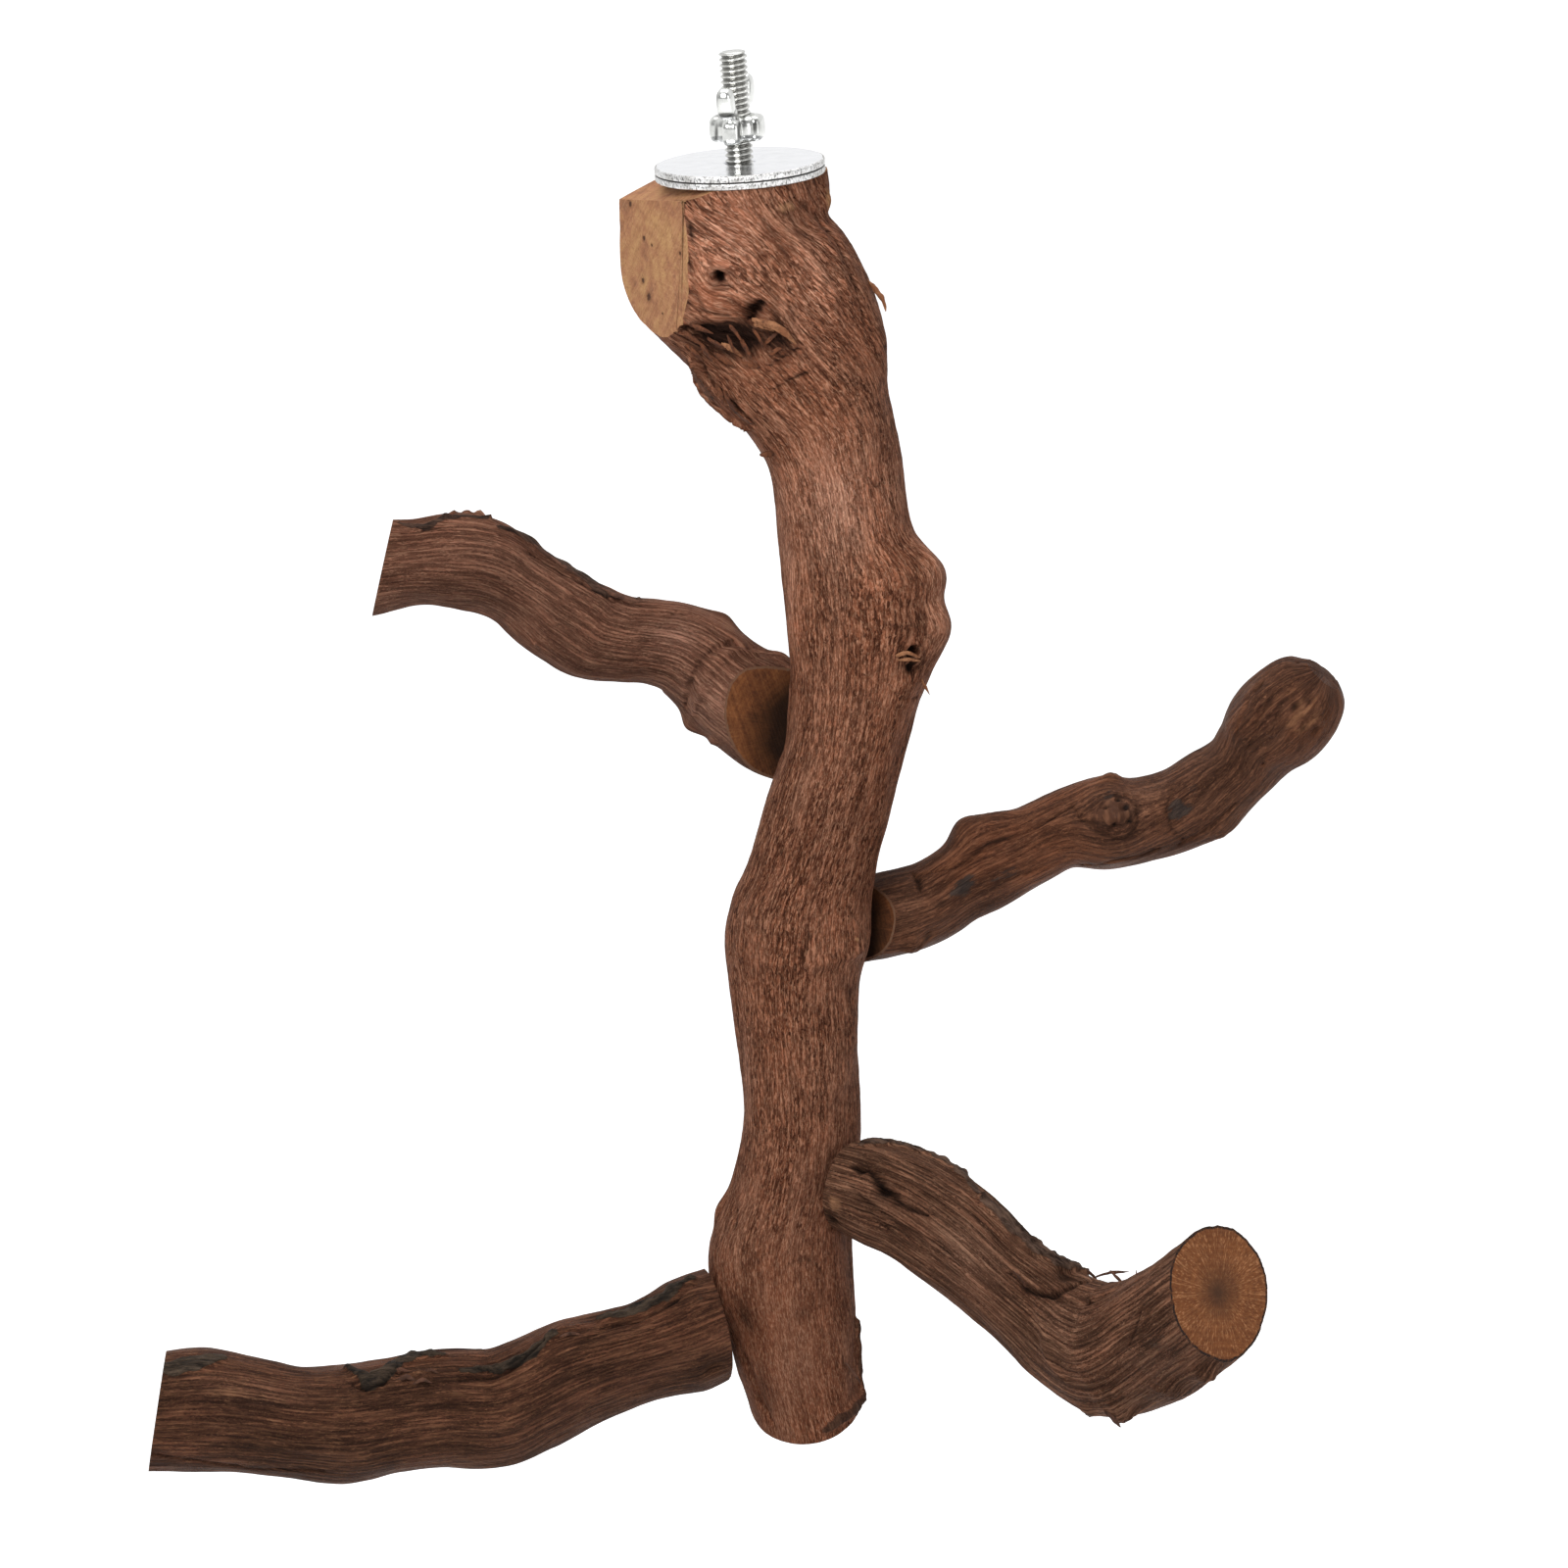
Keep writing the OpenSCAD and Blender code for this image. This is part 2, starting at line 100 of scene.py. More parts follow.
def unit(v):
    return v / np.linalg.norm(v, axis=-1, keepdims=True)


def planeThrough(spots, side):
    corners = placeOf(spots)
    outward = unit(np.cross(corners[1] - corners[0], corners[2] - corners[0]))
    return corners[0], outward if outward @ side > 0 else -outward


def easeBetween(low, high, value):
    f = np.clip((value - low) / (high - low), 0, 1)
    return f * f * (3 - 2 * f)


# Node trees. A Value is a number in a tree, and sums and products of it make the math nodes
def setInputs(node, inputs):
    for key, value in inputs.items():
        value = getattr(value, "socket", value)
        if isinstance(value, bpy.types.NodeSocket):
            node.id_data.links.new(value, node.inputs[key])
        else:
            node.inputs[key].default_value = value


def addNode(tree, kind, inputs=None, **settings):
    node = tree.nodes.new(kind)
    for name, value in settings.items():
        setattr(node, name, value)
    setInputs(node, inputs or {})
    return node


def operatorFor(operation, flipped=False):
    def apply(self, other):
        return self.math(operation, other, flipped=flipped)
    return apply


class Value:
    def __init__(self, socket):
        self.socket = socket

    def math(self, operation, *others, flipped=False):
        values = (*others, self) if flipped else (self, *others)
        node = addNode(self.socket.id_data, "ShaderNodeMath", dict(enumerate(values)), operation=operation)
        return Value(node.outputs[0])

    def ramp(self, low, high, toLow=0.0, toHigh=1.0):
        inputs = {0: self, 1: low, 2: high, 3: toLow, 4: toHigh}
        return Value(addNode(self.socket.id_data, "ShaderNodeMapRange", inputs).outputs[0])

    __add__ = operatorFor("ADD")
    __sub__ = operatorFor("SUBTRACT")
    __mul__ = operatorFor("MULTIPLY")
    __truediv__ = operatorFor("DIVIDE")
    __rsub__ = operatorFor("SUBTRACT", True)
    __rtruediv__ = operatorFor("DIVIDE", True)


def vectorOf(tree, operation, *values):
    return addNode(tree, "ShaderNodeVectorMath", dict(enumerate(values)), operation=operation).outputs[0]


def scaleOf(tree, vector, factor):
    return addNode(tree, "ShaderNodeVectorMath", {0: vector, "Scale": factor}, operation="SCALE").outputs[0]


def lengthOf(tree, operation, *vectors):
    node = addNode(tree, "ShaderNodeVectorMath", dict(enumerate(vectors)), operation=operation)
    return Value(node.outputs[1])


def combine(tree, *parts):
    return addNode(tree, "ShaderNodeCombineXYZ", dict(enumerate(parts))).outputs[0]


def separate(tree, vector):
    return [Value(output) for output in addNode(tree, "ShaderNodeSeparateXYZ", {0: vector}).outputs]


def mixOf(tree, share, first, second):
    return addNode(tree, "ShaderNodeMix", {0: share, 6: first, 7: second}, data_type="RGBA").outputs[2]


def noiseOf(tree, coordinates, size, detail, roughness, shift, distortion=0.0):
    if not isinstance(size, tuple):
        size = (size, size, size)
    scaled = vectorOf(tree, "MULTIPLY", coordinates, tuple(1 / s for s in size))
    moved = vectorOf(tree, "ADD", scaled, (shift, shift * 1.7, shift * 0.6))
    inputs = {"Vector": moved, "Scale": 1.0, "Detail": detail,
              "Roughness": roughness, "Distortion": distortion}
    return Value(addNode(tree, "ShaderNodeTexNoise", inputs).outputs[0])


def tint(red, green, blue):
    shares = [c / 255 for c in (red, green, blue)]
    linear = [c / 12.92 if c <= 0.04045 else ((c + 0.055) / 1.055) ** 2.4 for c in shares]
    return (*linear, 1.0)


def newMaterial(name):
    material = bpy.data.materials.new(name)
    material.use_nodes = True
    tree = material.node_tree
    return material, tree, tree.nodes["Principled BSDF"]


def attributeOf(tree, name):
    return Value(addNode(tree, "ShaderNodeAttribute", attribute_name=name).outputs[2])


# Lays colours of the look over one another, each with its share
def layered(tree, colour, look, layers):
    for share, name in layers:
        colour = mixOf(tree, share, colour, tint(*look[name]))
    return colour


def finishShader(shader, inputs, height, depth, strength=1.0):
    relief = {"Strength": strength, "Distance": depth, "Height": height}
    bump = addNode(shader.id_data, "ShaderNodeBump", relief)
    setInputs(shader, {**inputs, "Normal": bump.outputs[0]})


# Bark: long cells with dark lines between them, over fibres, streaks and patches that follow the grain
def barkMaterial(name, look):
    material, tree, shader = newMaterial(name)
    grain = addNode(tree, "ShaderNodeAttribute", attribute_name="grain").outputs[1]
    labels = ("relief", "smooth", "bark", "pale", "dark", "lit", "shade")
    relief, smooth, bark, pale, dark, lit, shade = (attributeOf(tree, label) for label in labels)

    def noise(wide, long, detail, roughness, step, distortion=0.0):
        return noiseOf(tree, grain, (wide, wide, long), detail, roughness, look["seed"] + step, distortion)

    tone = noise(0.016, 0.035, 4, 0.6, 0)
    patch = noise(0.005, 0.018, 3, 0.5, 3)
    streak = noise(*look["streakSize"], 5, 0.65, 5)
    fibre = noise(*look["fibreSize"], 3, 0.65, 7)
    speck = noise(0.0004, 0.0011, 3, 0.6, 9)
    flake = noise(0.0016, 0.006, 6, 0.72, 11)
    pit = noise(*look["pitSize"], 2, 0.5, 13, 0.7)
    pit = pit.ramp(0.565, 0.6) * patch.ramp(0.42, 0.54, 0.3, 1.0) * smooth.ramp(0.0, 1.0, 1.0, 0.3)

    ruffled = vectorOf(tree, "MULTIPLY", grain, (900, 900, 300))
    wander = addNode(tree, "ShaderNodeTexNoise", {"Vector": ruffled, "Detail": 3.0}).outputs[1]
    wide, long = look["cellSize"]
    cellSpot = vectorOf(tree, "MULTIPLY", grain, (1 / wide, 1 / wide, 1 / long))
    cellSpot = vectorOf(tree, "MULTIPLY_ADD", wander, (1.1, 1.1, 1.1), cellSpot)
    inputs = {"Vector": cellSpot, "Scale": 1.0, "Randomness": 1.0}
    cell = Value(addNode(tree, "ShaderNodeTexVoronoi", inputs, feature="DISTANCE_TO_EDGE").outputs[0])
    line = cell.ramp(look["lineWide"] * 0.35, look["lineWide"], 1.0, 0.0)
    line = line * streak.ramp(0.62, 0.38, look["lineLeast"], 1.0) * smooth.ramp(0.0, 1.0, 1.0, 0.25)

    colour = mixOf(tree, tone.ramp(0.38, 0.62), tint(*look["base"]), tint(*look["cool"]))
    colour = layered(tree, colour, look, [
        (patch.ramp(0.46, 0.66, 0, 0.75), "patch"),
        (streak.ramp(0.53, 0.67, 0, look["streakShare"]), "light"),
        (streak.ramp(0.47, 0.33, 0, look["streakShare"]), "dark"),
        (fibre.ramp(0.53, 0.59, 0, look["fibreShare"]), "light"),
        (fibre.ramp(0.47, 0.41, 0, look["fibreShare"]), "dark"),
        # Painted highlight: light specks as glints
        (speck.ramp(0.6, 0.7, 0, 0.5), "light"),
        # Painted shade in the grain's furrows and painted highlight on its ridges, following the relief
        (relief.ramp(-0.1, -0.8, 0, look["reliefShare"]), "dark"),
        (relief.ramp(0.3, 0.9, 0, look["reliefShare"] * 0.4), "light"),
        (line * look["lineShare"], "line"),
        (pit * look["pitShare"], "line"),
    ])
    rag = flake * 1.2 - 0.6
    barkTone = mixOf(tree, flake.ramp(0.4, 0.62), tint(*look["barkDark"]), tint(*look["barkLight"]))
    barkShare = (bark + rag).ramp(0.42, 0.56)
    colour = layered(tree, mixOf(tree, barkShare, colour, barkTone), look, [
        ((pale + rag).ramp(0.35, 0.7, 0, 0.85), "pale"),
        # Painted shade in cracks, creases, pits and the torn hollow, and the dark wood of knots, where the
        # dark marks lie
        ((dark + rag).ramp(0.15, 0.8, 0, 0.95), "hollow"),
    ])
    # Painted light and painted shade: the lit mark brightens the colour and the shade mark darkens it
    paintedLight = vectorOf(tree, "MULTIPLY_ADD", lit, (0.75, 0.95, 1.15), (1, 1, 1))
    colour = scaleOf(tree, vectorOf(tree, "MULTIPLY", colour, paintedLight), shade * -0.6 + 1.0)

    rough = patch.ramp(0.35, 0.65, look["rough"] - 0.1, look["rough"] + 0.1)
    height = streak * 1.1 + fibre * 0.45 + line.math("MAXIMUM", pit) * -0.5 + flake * barkShare * 0.8
    inputs = {"Base Color": colour, "Roughness": rough, "Specular IOR Level": look["sheen"]}
    finishShader(shader, inputs, height, look["bump"])
    return material


# Sawn end grain: rings and rays round the pith at the UV map's origin; knots are (u, v, radius)
def sawnMaterial(name, look, knots=()):
    material, tree, shader = newMaterial(name)
    flat = addNode(tree, "ShaderNodeUVMap", uv_map="sawn").outputs[0]
    seed = look["seed"]
    wander = noiseOf(tree, flat, 0.009, 3, 0.5, seed)
    blotch = noiseOf(tree, flat, 0.0055, 5, 0.65, seed + 2)
    speck = noiseOf(tree, flat, 0.0006, 3, 0.6, seed + 4)
    inputs = {"Vector": flat, "Angle": look["sawTurn"]}
    turned = addNode(tree, "ShaderNodeVectorRotate", inputs, rotation_type="Z_AXIS").outputs[0]
    saw = noiseOf(tree, turned, (0.025, 0.0005, 1.0), 2, 0.5, seed + 6)
    radius = lengthOf(tree, "LENGTH", flat)
    u, v, _ = separate(tree, flat)
    angle = v.math("ARCTAN2", u)
    distance = wander * look["wander"] + look["wander"] * -0.5 + radius
    ring = (distance * (2 * math.pi / look["ringWidth"])).math("SINE")
    fan = combine(tree, angle.math("SINE"), angle.math("COSINE"), radius * 60.0)
    ray = noiseOf(tree, fan, (0.03, 0.03, 1.0), 3, 0.6, seed + 8)
    fleck = noiseOf(tree, fan, (0.035, 0.035, 0.06), 2, 0.5, seed + 10)

    colour = mixOf(tree, blotch.ramp(0.38, 0.62), tint(*look["base"]), tint(*look["warm"]))
    colour = layered(tree, colour, look, [
        (blotch.ramp(0.56, 0.7, 0, look["stainShare"]), "stain"),
        (ring.ramp(-0.2, 1.0, 0, look["ringShare"]), "ring"),
        (ray.ramp(0.52, 0.7, 0, look["rayShare"]), "light"),
        (fleck.ramp(0.56, 0.68, 0, look["fleckShare"]), "light"),
        (fleck.ramp(0.44, 0.32, 0, look["fleckShare"]), "speck"),
        (speck.ramp(0.56, 0.7, 0, 0.45), "speck"),
        (saw.ramp(0.5, 0.72, 0, look["sawShare"]), "light"),
        (saw.ramp(0.44, 0.3, 0, look["sawShare"]), "speck"),
        (distance.ramp(look["pith"], look["pith"] * look["pithCore"], 0, look["pithShare"]), "heart"),
    ])
    height = ray * 0.4 + (speck + saw)
    pits = None
    for knotU, knotV, size in knots:
        rag = speck * (size * 1.6) + size * -0.8
        away = lengthOf(tree, "DISTANCE", flat, (knotU, knotV, 0)) + rag
        core = away.ramp(size * 1.3, size * 0.7)
        halo = away.ramp(size * 2.6, size, 0, 0.55)
        colour = layered(tree, colour, look, [(halo, "speck"), (core * 0.85, "heart")])
        pits = core if pits is None else pits.math("MAXIMUM", core)
    if pits:
        height = pits * -3.0 + height
    rimShare = attributeOf(tree, "rim") * speck.ramp(0.4, 0.5, 0.6, 1.0)
    colour = layered(tree, colour, look, [(rimShare, "rim")])
    inputs = {"Base Color": colour, "Roughness": 0.75, "Specular IOR Level": 0.15}
    finishShader(shader, inputs, height, 0.00015, 0.8)
    return material


# Bright plated steel, darker where the piece's "groove" attribute or the line between the washers says so;
# that darkening is painted shade, and on the nut's lobes painted reflection
def platedMaterial(name, look):
    material, tree, shader = newMaterial(name)
    where = addNode(tree, "ShaderNodeTexCoord").outputs["Object"]
    cloud = noiseOf(tree, where, 0.004, 4, 0.6, look["seed"])
    grit = noiseOf(tree, where, look["gritSize"], 3, 0.6, look["seed"] + 2)
    colour = mixOf(tree, cloud.ramp(0.35, 0.65), tint(*look["bright"]), tint(*look["dull"]))
    layers = [(grit.ramp(look["gritFrom"], look["gritFrom"] + 0.12, 0, look["gritShare"]), "grit")]
    metal = 1.0
    # The seam: painted shade along the line between the washers, in the grit colour and less metallic
    if "seam" in look:
        seam = separate(tree, where)[2].math("ABSOLUTE").ramp(look["seam"], look["seam"] * 0.4)
        layers.append((seam, "grit"))
        metal = 1.0 - seam
    # The groove attribute lays the grit colour as painted shade in the bolt's thread and the nut's corners,
    # and as painted dark reflection on the nut's lobes
    if "grooveShare" in look:
        layers.append((attributeOf(tree, "groove").ramp(0.15, 0.95, 0, look["grooveShare"]), "grit"))
    rough = cloud.ramp(0.3, 0.7, look["rough"], look["rough"] + 0.1)
    inputs = {"Base Color": layered(tree, colour, look, layers), "Metallic": metal, "Roughness": rough}
    finishShader(shader, inputs, grit * 0.6 + cloud, look["bump"])
    return material


# In each bark look the light colour is also laid as painted highlight on specks and ridges, the dark colour
# as painted shade in the grain's furrows, and the hollow colour as painted shade in cracks, creases and pits
# and as the dark wood of knots
barkLooks = {
    "trunkBark": {
        "seed": 1.0, "base": (148, 92, 67), "cool": (136, 91, 70), "patch": (118, 71, 50),
        "light": (186, 138, 110), "dark": (92, 52, 35), "line": (48, 24, 14), "lineShare": 0.75,
        "lineWide": 0.17, "lineLeast": 0.1, "cellSize": (0.001, 0.0045), "streakSize": (0.0005, 0.009),
        "streakShare": 0.35, "fibreSize": (0.00032, 0.0011), "fibreShare": 0.5, "reliefShare": 0.1,
        "pitSize": (0.00055, 0.0022), "pitShare": 0.85, "barkDark": (56, 35, 27),
        "barkLight": (104, 74, 58), "pale": (172, 128, 92), "hollow": (20, 11, 8), "rough": 0.65,
        "sheen": 0.04, "bump": 0.0006,
    },
    "perchBark": {
        "seed": 4.0, "base": (132, 88, 69), "cool": (117, 80, 64), "patch": (96, 61, 47),
        "light": (164, 122, 98), "dark": (78, 49, 36), "line": (48, 29, 20), "lineShare": 0.65,
        "lineWide": 0.17, "lineLeast": 0.25, "cellSize": (0.0008, 0.018), "streakSize": (0.00045, 0.018),
        "streakShare": 0.35, "fibreSize": (0.0005, 0.003), "fibreShare": 0.3, "reliefShare": 0.08,
        "pitSize": (0.0005, 0.004), "pitShare": 0.35, "barkDark": (38, 28, 24), "barkLight": (96, 72, 60),
        "pale": (158, 118, 90), "hollow": (18, 11, 8), "rough": 0.65, "sheen": 0.04, "bump": 0.0006,
    },
    "rightBark": {
        "seed": 7.0, "base": (112, 68, 46), "cool": (86, 56, 41), "patch": (66, 40, 28),
        "light": (142, 96, 70), "dark": (62, 37, 25), "line": (34, 19, 13), "lineShare": 0.6,
        "lineWide": 0.16, "lineLeast": 0.1, "cellSize": (0.0009, 0.014), "streakSize": (0.0005, 0.014),
        "streakShare": 0.3, "fibreSize": (0.0004, 0.002), "fibreShare": 0.25, "reliefShare": 0.08,
        "pitSize": (0.0005, 0.003), "pitShare": 0.35, "barkDark": (46, 38, 35), "barkLight": (70, 56, 49),
        "pale": (156, 110, 78), "hollow": (18, 10, 7), "rough": 0.55, "sheen": 0.07, "bump": 0.0004,
    },
    "lowerRightBark": {
        "seed": 11.0, "base": (131, 88, 67), "cool": (112, 77, 59), "patch": (84, 54, 39),
        "light": (168, 126, 100), "dark": (64, 40, 29), "line": (30, 18, 12), "lineShare": 0.8,
        "lineWide": 0.2, "lineLeast": 0.35, "cellSize": (0.00085, 0.022), "streakSize": (0.0005, 0.024),
        "streakShare": 0.35, "fibreSize": (0.00038, 0.004), "fibreShare": 0.3, "reliefShare": 0.25,
        "pitSize": (0.0005, 0.005), "pitShare": 0.4, "barkDark": (40, 28, 23), "barkLight": (112, 88, 74),
        "pale": (166, 120, 88), "hollow": (16, 10, 8), "rough": 0.65, "sheen": 0.04, "bump": 0.0007,
    },
    "lowerLeftBark": {
        "seed": 15.0, "base": (113, 72, 53), "cool": (88, 57, 42), "patch": (60, 38, 28),
        "light": (142, 100, 72), "dark": (50, 30, 21), "line": (24, 14, 10), "lineShare": 0.65,
        "lineWide": 0.18, "lineLeast": 0.25, "cellSize": (0.0009, 0.018), "streakSize": (0.0005, 0.018),
        "streakShare": 0.3, "fibreSize": (0.0004, 0.003), "fibreShare": 0.3, "reliefShare": 0.18,
        "pitSize": (0.0005, 0.004), "pitShare": 0.4, "barkDark": (34, 29, 25), "barkLight": (82, 68, 56),
        "pale": (132, 92, 66), "hollow": (14, 9, 7), "rough": 0.6, "sheen": 0.06, "bump": 0.0007,
    },
}
sawnLooks = {
    "trunkSawn": {
        "seed": 2.0, "base": (164, 124, 84), "warm": (146, 98, 72), "ring": (128, 86, 60),
        "light": (186, 148, 108), "speck": (100, 64, 42), "heart": (52, 29, 19), "stain": (116, 82, 60),
        "stainShare": 0.8, "rim": (88, 54, 38), "fleckShare": 0.3, "ringWidth": 0.0042, "ringShare": 0.35,
        "rayShare": 0.15, "sawShare": 0.2, "sawTurn": 2.3, "wander": 0.012, "pith": 0.0002,
        "pithCore": 0.2, "pithShare": 0.8,
    },
    "perchSawn": {
        "seed": 5.0, "base": (122, 73, 41), "warm": (108, 63, 35), "ring": (92, 52, 30),
        "light": (178, 126, 86), "speck": (74, 42, 26), "heart": (54, 36, 25), "stain": (98, 60, 40),
        "stainShare": 0.4, "rim": (34, 24, 20), "fleckShare": 0.6, "ringWidth": 0.0021, "ringShare": 0.3,
        "rayShare": 0.4, "sawShare": 0.1, "sawTurn": 0.2, "wander": 0.004, "pith": 0.0072,
        "pithCore": 0.1, "pithShare": 0.8,
    },
    # The seats' faces lie against the trunk: their colours are darker than the perch ends', painted shade of
    # the trunk over the wood's rings and stains
    "shadedSeatSawn": {
        "seed": 8.0, "base": (122, 74, 42), "warm": (94, 55, 33), "ring": (80, 46, 28),
        "light": (146, 94, 58), "speck": (62, 36, 23), "heart": (24, 15, 10), "stain": (58, 35, 23),
        "stainShare": 0.6, "rim": (112, 82, 64), "fleckShare": 0.3, "ringWidth": 0.0016, "ringShare": 0.4,
        "rayShare": 0.3, "sawShare": 0.35, "sawTurn": 1.2, "wander": 0.006, "pith": 0.017,
        "pithCore": 0.55, "pithShare": 0.9,
    },
}
# The grit colour is also laid as painted shade in the seam between the washers, in the bolt's thread grooves
# and in the nut's corners, and as painted dark reflection on the nut's lobes
plateLooks = {
    "polishedPlate": {
        "seed": 1.0, "bright": (238, 239, 242), "dull": (230, 231, 234), "grit": (190, 190, 192),
        "gritSize": 0.0008, "gritFrom": 0.6, "gritShare": 0.1, "rough": 0.1, "bump": 0.000004,
    },
    "shearedPlate": {
        "seed": 2.0, "bright": (236, 236, 236), "dull": (190, 188, 185), "grit": (40, 36, 34),
        "gritSize": (0.00034, 0.00034, 0.0007), "gritFrom": 0.5, "gritShare": 0.8, "seam": 0.00026,
        "rough": 0.28, "bump": 0.0003,
    },
    "boltPlate": {
        "seed": 3.0, "bright": (226, 226, 223), "dull": (194, 194, 190), "grit": (92, 90, 86),
        "gritSize": 0.0007, "gritFrom": 0.6, "gritShare": 0.35, "grooveShare": 0.75, "rough": 0.2,
        "bump": 0.00003,
    },
    "nutPlate": {
        "seed": 4.0, "bright": (228, 229, 226), "dull": (196, 197, 194), "grit": (58, 58, 55),
        "gritSize": 0.0009, "gritFrom": 0.6, "gritShare": 0.2, "grooveShare": 0.9, "rough": 0.14,
        "bump": 0.00003,
    },
}
materials = {name: barkMaterial(name, look) for name, look in barkLooks.items()}
for name in ("perchSawn", "shadedSeatSawn"):   # the trunk's is made with the trunk, for its knots' places
    materials[name] = sawnMaterial(name, sawnLooks[name])
materials.update({name: platedMaterial(name, look) for name, look in plateLooks.items()})
print("materials made:", len(materials))


# Geometry node groups; each is made with its inputs by name
def newGroup(name, sockets):
    group = bpy.data.node_groups.new(name, "GeometryNodeTree")
    for label, kind in {"Geometry": "Geometry", **sockets, "Material": "Material"}.items():
        group.interface.new_socket(label, in_out="INPUT", socket_type="NodeSocket" + kind)
    group.interface.new_socket("Geometry", in_out="OUTPUT", socket_type="NodeSocketGeometry")
    source = group.nodes.new("NodeGroupInput")
    return group, {output.name: Value(output) for output in source.outputs}


def endGroup(group, given, geometry):
    whole = addNode(group, "GeometryNodeRealizeInstances", {"Geometry": geometry})
    inputs = {"Geometry": whole.outputs[0], "Material": given["Material"]}
    painted = addNode(group, "GeometryNodeSetMaterial", inputs)
    addNode(group, "NodeGroupOutput", {0: painted.outputs[0]})
    return group


def storedIn(group, name, kind="FLOAT"):
    return Value(addNode(group, "GeometryNodeInputNamedAttribute", {0: name}, data_type=kind).outputs[0])


# Keeps a value on the points under a name, and then moves the points
def storeAndMove(group, geometry, name, value, **move):
    inputs = {"Geometry": geometry, "Name": name, "Value": value}
    kept = addNode(group, "GeometryNodeStoreNamedAttribute", inputs, data_type="FLOAT", domain="POINT")
    return addNode(group, "GeometryNodeSetPosition", {"Geometry": kept.outputs[0], **move}).outputs[0]


def runGroup(piece, group, values):
    modifier = piece.modifiers.new(group.name, "NODES")
    modifier.node_group = group
    sockets = [item for item in group.interface.items_tree if item.in_out == "INPUT"]
    identifiers = {item.name: item.identifier for item in sockets}
    for label, value in values.items():
        modifier[identifiers[label]] = value
    bpy.context.view_layer.update()
    graph = bpy.context.evaluated_depsgraph_get()
    grown = piece.evaluated_get(graph)
    mesh = bpy.data.meshes.new_from_object(grown, preserve_all_data_layers=True, depsgraph=graph)
    piece.modifiers.remove(modifier)
    old = piece.data
    piece.data = mesh
    mesh.name = piece.name
    if isinstance(old, bpy.types.Mesh):
        bpy.data.meshes.remove(old)
    return piece


def newPiece(name, mesh):
    piece = bpy.data.objects.new(name, mesh)
    bpy.context.scene.collection.objects.link(piece)
    return piece


# Grain relief: long ridges and soft swells along the wood, which the colour follows
grainLabels = ("Grain Depth", "Grain Width", "Grain Length",
               "Swell Depth", "Swell Size", "Knot Depth", "Seed")


def makeGrainGroup():
    group, given = newGroup("grainRelief", dict.fromkeys(grainLabels, "Float"))
    place = addNode(group, "GeometryNodeInputPosition").outputs[0]
    acrossGrain = 1.0 / given["Grain Width"]
    alongGrain = 1.0 / given["Grain Length"]
    swellScale = 1.0 / given["Swell Size"]

    def layer(coordinates, scale, detail, roughness):
        inputs = {"Vector": coordinates, "W": given["Seed"],
                  "Scale": scale, "Detail": detail, "Roughness": roughness}
        noise = addNode(group, "ShaderNodeTexNoise", inputs, noise_dimensions="4D").outputs[0]
        return Value(noise) * 2.0 - 1.0

    stretched = vectorOf(group, "MULTIPLY", storedIn(group, "grain", "FLOAT_VECTOR"),
                         combine(group, acrossGrain, acrossGrain, alongGrain))
    sharp = layer(stretched, 1.0, 3.0, 0.6).ramp(-0.5, 0.35, -1.0, 1.0)
    swell = layer(place, swellScale, 2.0, 0.5) * given["Swell Depth"]
    crumb = layer(place, swellScale * 4.0, 4.0, 0.7) * given["Knot Depth"] * storedIn(group, "rough")
    calm = 1.0 - storedIn(group, "smooth")
    rise = sharp * given["Grain Depth"] * calm + swell + crumb
    offset = scaleOf(group, addNode(group, "GeometryNodeInputNormal").outputs[0], rise)
    moved = storeAndMove(group, given["Geometry"], "relief", sharp * calm, Offset=offset)
    return endGroup(group, given, moved)


grainGroup = makeGrainGroup()


def growGrain(piece, grain, bark):
    runGroup(piece, grainGroup, {**dict(zip(grainLabels, grain)), "Material": materials[bark]})


# Turns a mesh's faces outwards, after its doubles are welded
def closeMesh(mesh, weld=True, smooth=True):
    work = bmesh.new()
    work.from_mesh(mesh)
    if weld:
        bmesh.ops.remove_doubles(work, verts=work.verts, dist=weldDistance)
    bmesh.ops.recalc_face_normals(work, faces=work.faces)
    work.to_mesh(mesh)
    work.free()
    mesh.polygons.foreach_set("use_smooth", [smooth] * len(mesh.polygons))
    mesh.update()


# Limbs: a smooth curve through the rows of a middle line and its girth, in pixels of the photograph
def smoothRows(rows, t):
    rows = np.asarray(rows, float)
    last = len(rows) - 1
    i = np.clip(np.floor(t).astype(int), 0, last - 1)
    f = (t - i)[:, None]
    a, b, c, d = (rows[np.clip(i + k, 0, last)] for k in (-1, 0, 1, 2))
    squared = 2 * a - 5 * b + 4 * c - d
    cubed = 3 * b - a - 3 * c + d
    return 0.5 * (2 * b + (c - a) * f + squared * f ** 2 + cubed * f ** 3)


# A branch isn't round: its lobes wind as they go along, each with its size, count and winding
lobes = ((1.0, 2, 37), (0.6, 3, -61), (0.4, 5, 83))
uneven = 0.025


def waves(angle, along):
    turn = np.degrees(angle)
    return uneven * sum(size * np.sin(np.radians(count * turn + winding * along))
                        for size, count, winding in lobes)


# Slow unevenness in space, between about -1 and 1
def ripple(points, size, seed):
    rng = np.random.default_rng(seed)
    total = np.zeros(len(points))
    for step in range(7):
        direction = unit(rng.normal(size=3)) / size * rng.uniform(0.7, 1.6)
        total += np.sin(points @ direction * 2 * math.pi + rng.uniform(0, 2 * math.pi))
    return total / 3.5


# Of these marks, lit and shade are painted light and painted shade; dark is painted shade in cracks, creases
# and pits, and also the dark wood of knots
markNames = ("dark", "bark", "pale", "rough", "smooth", "lit", "shade")


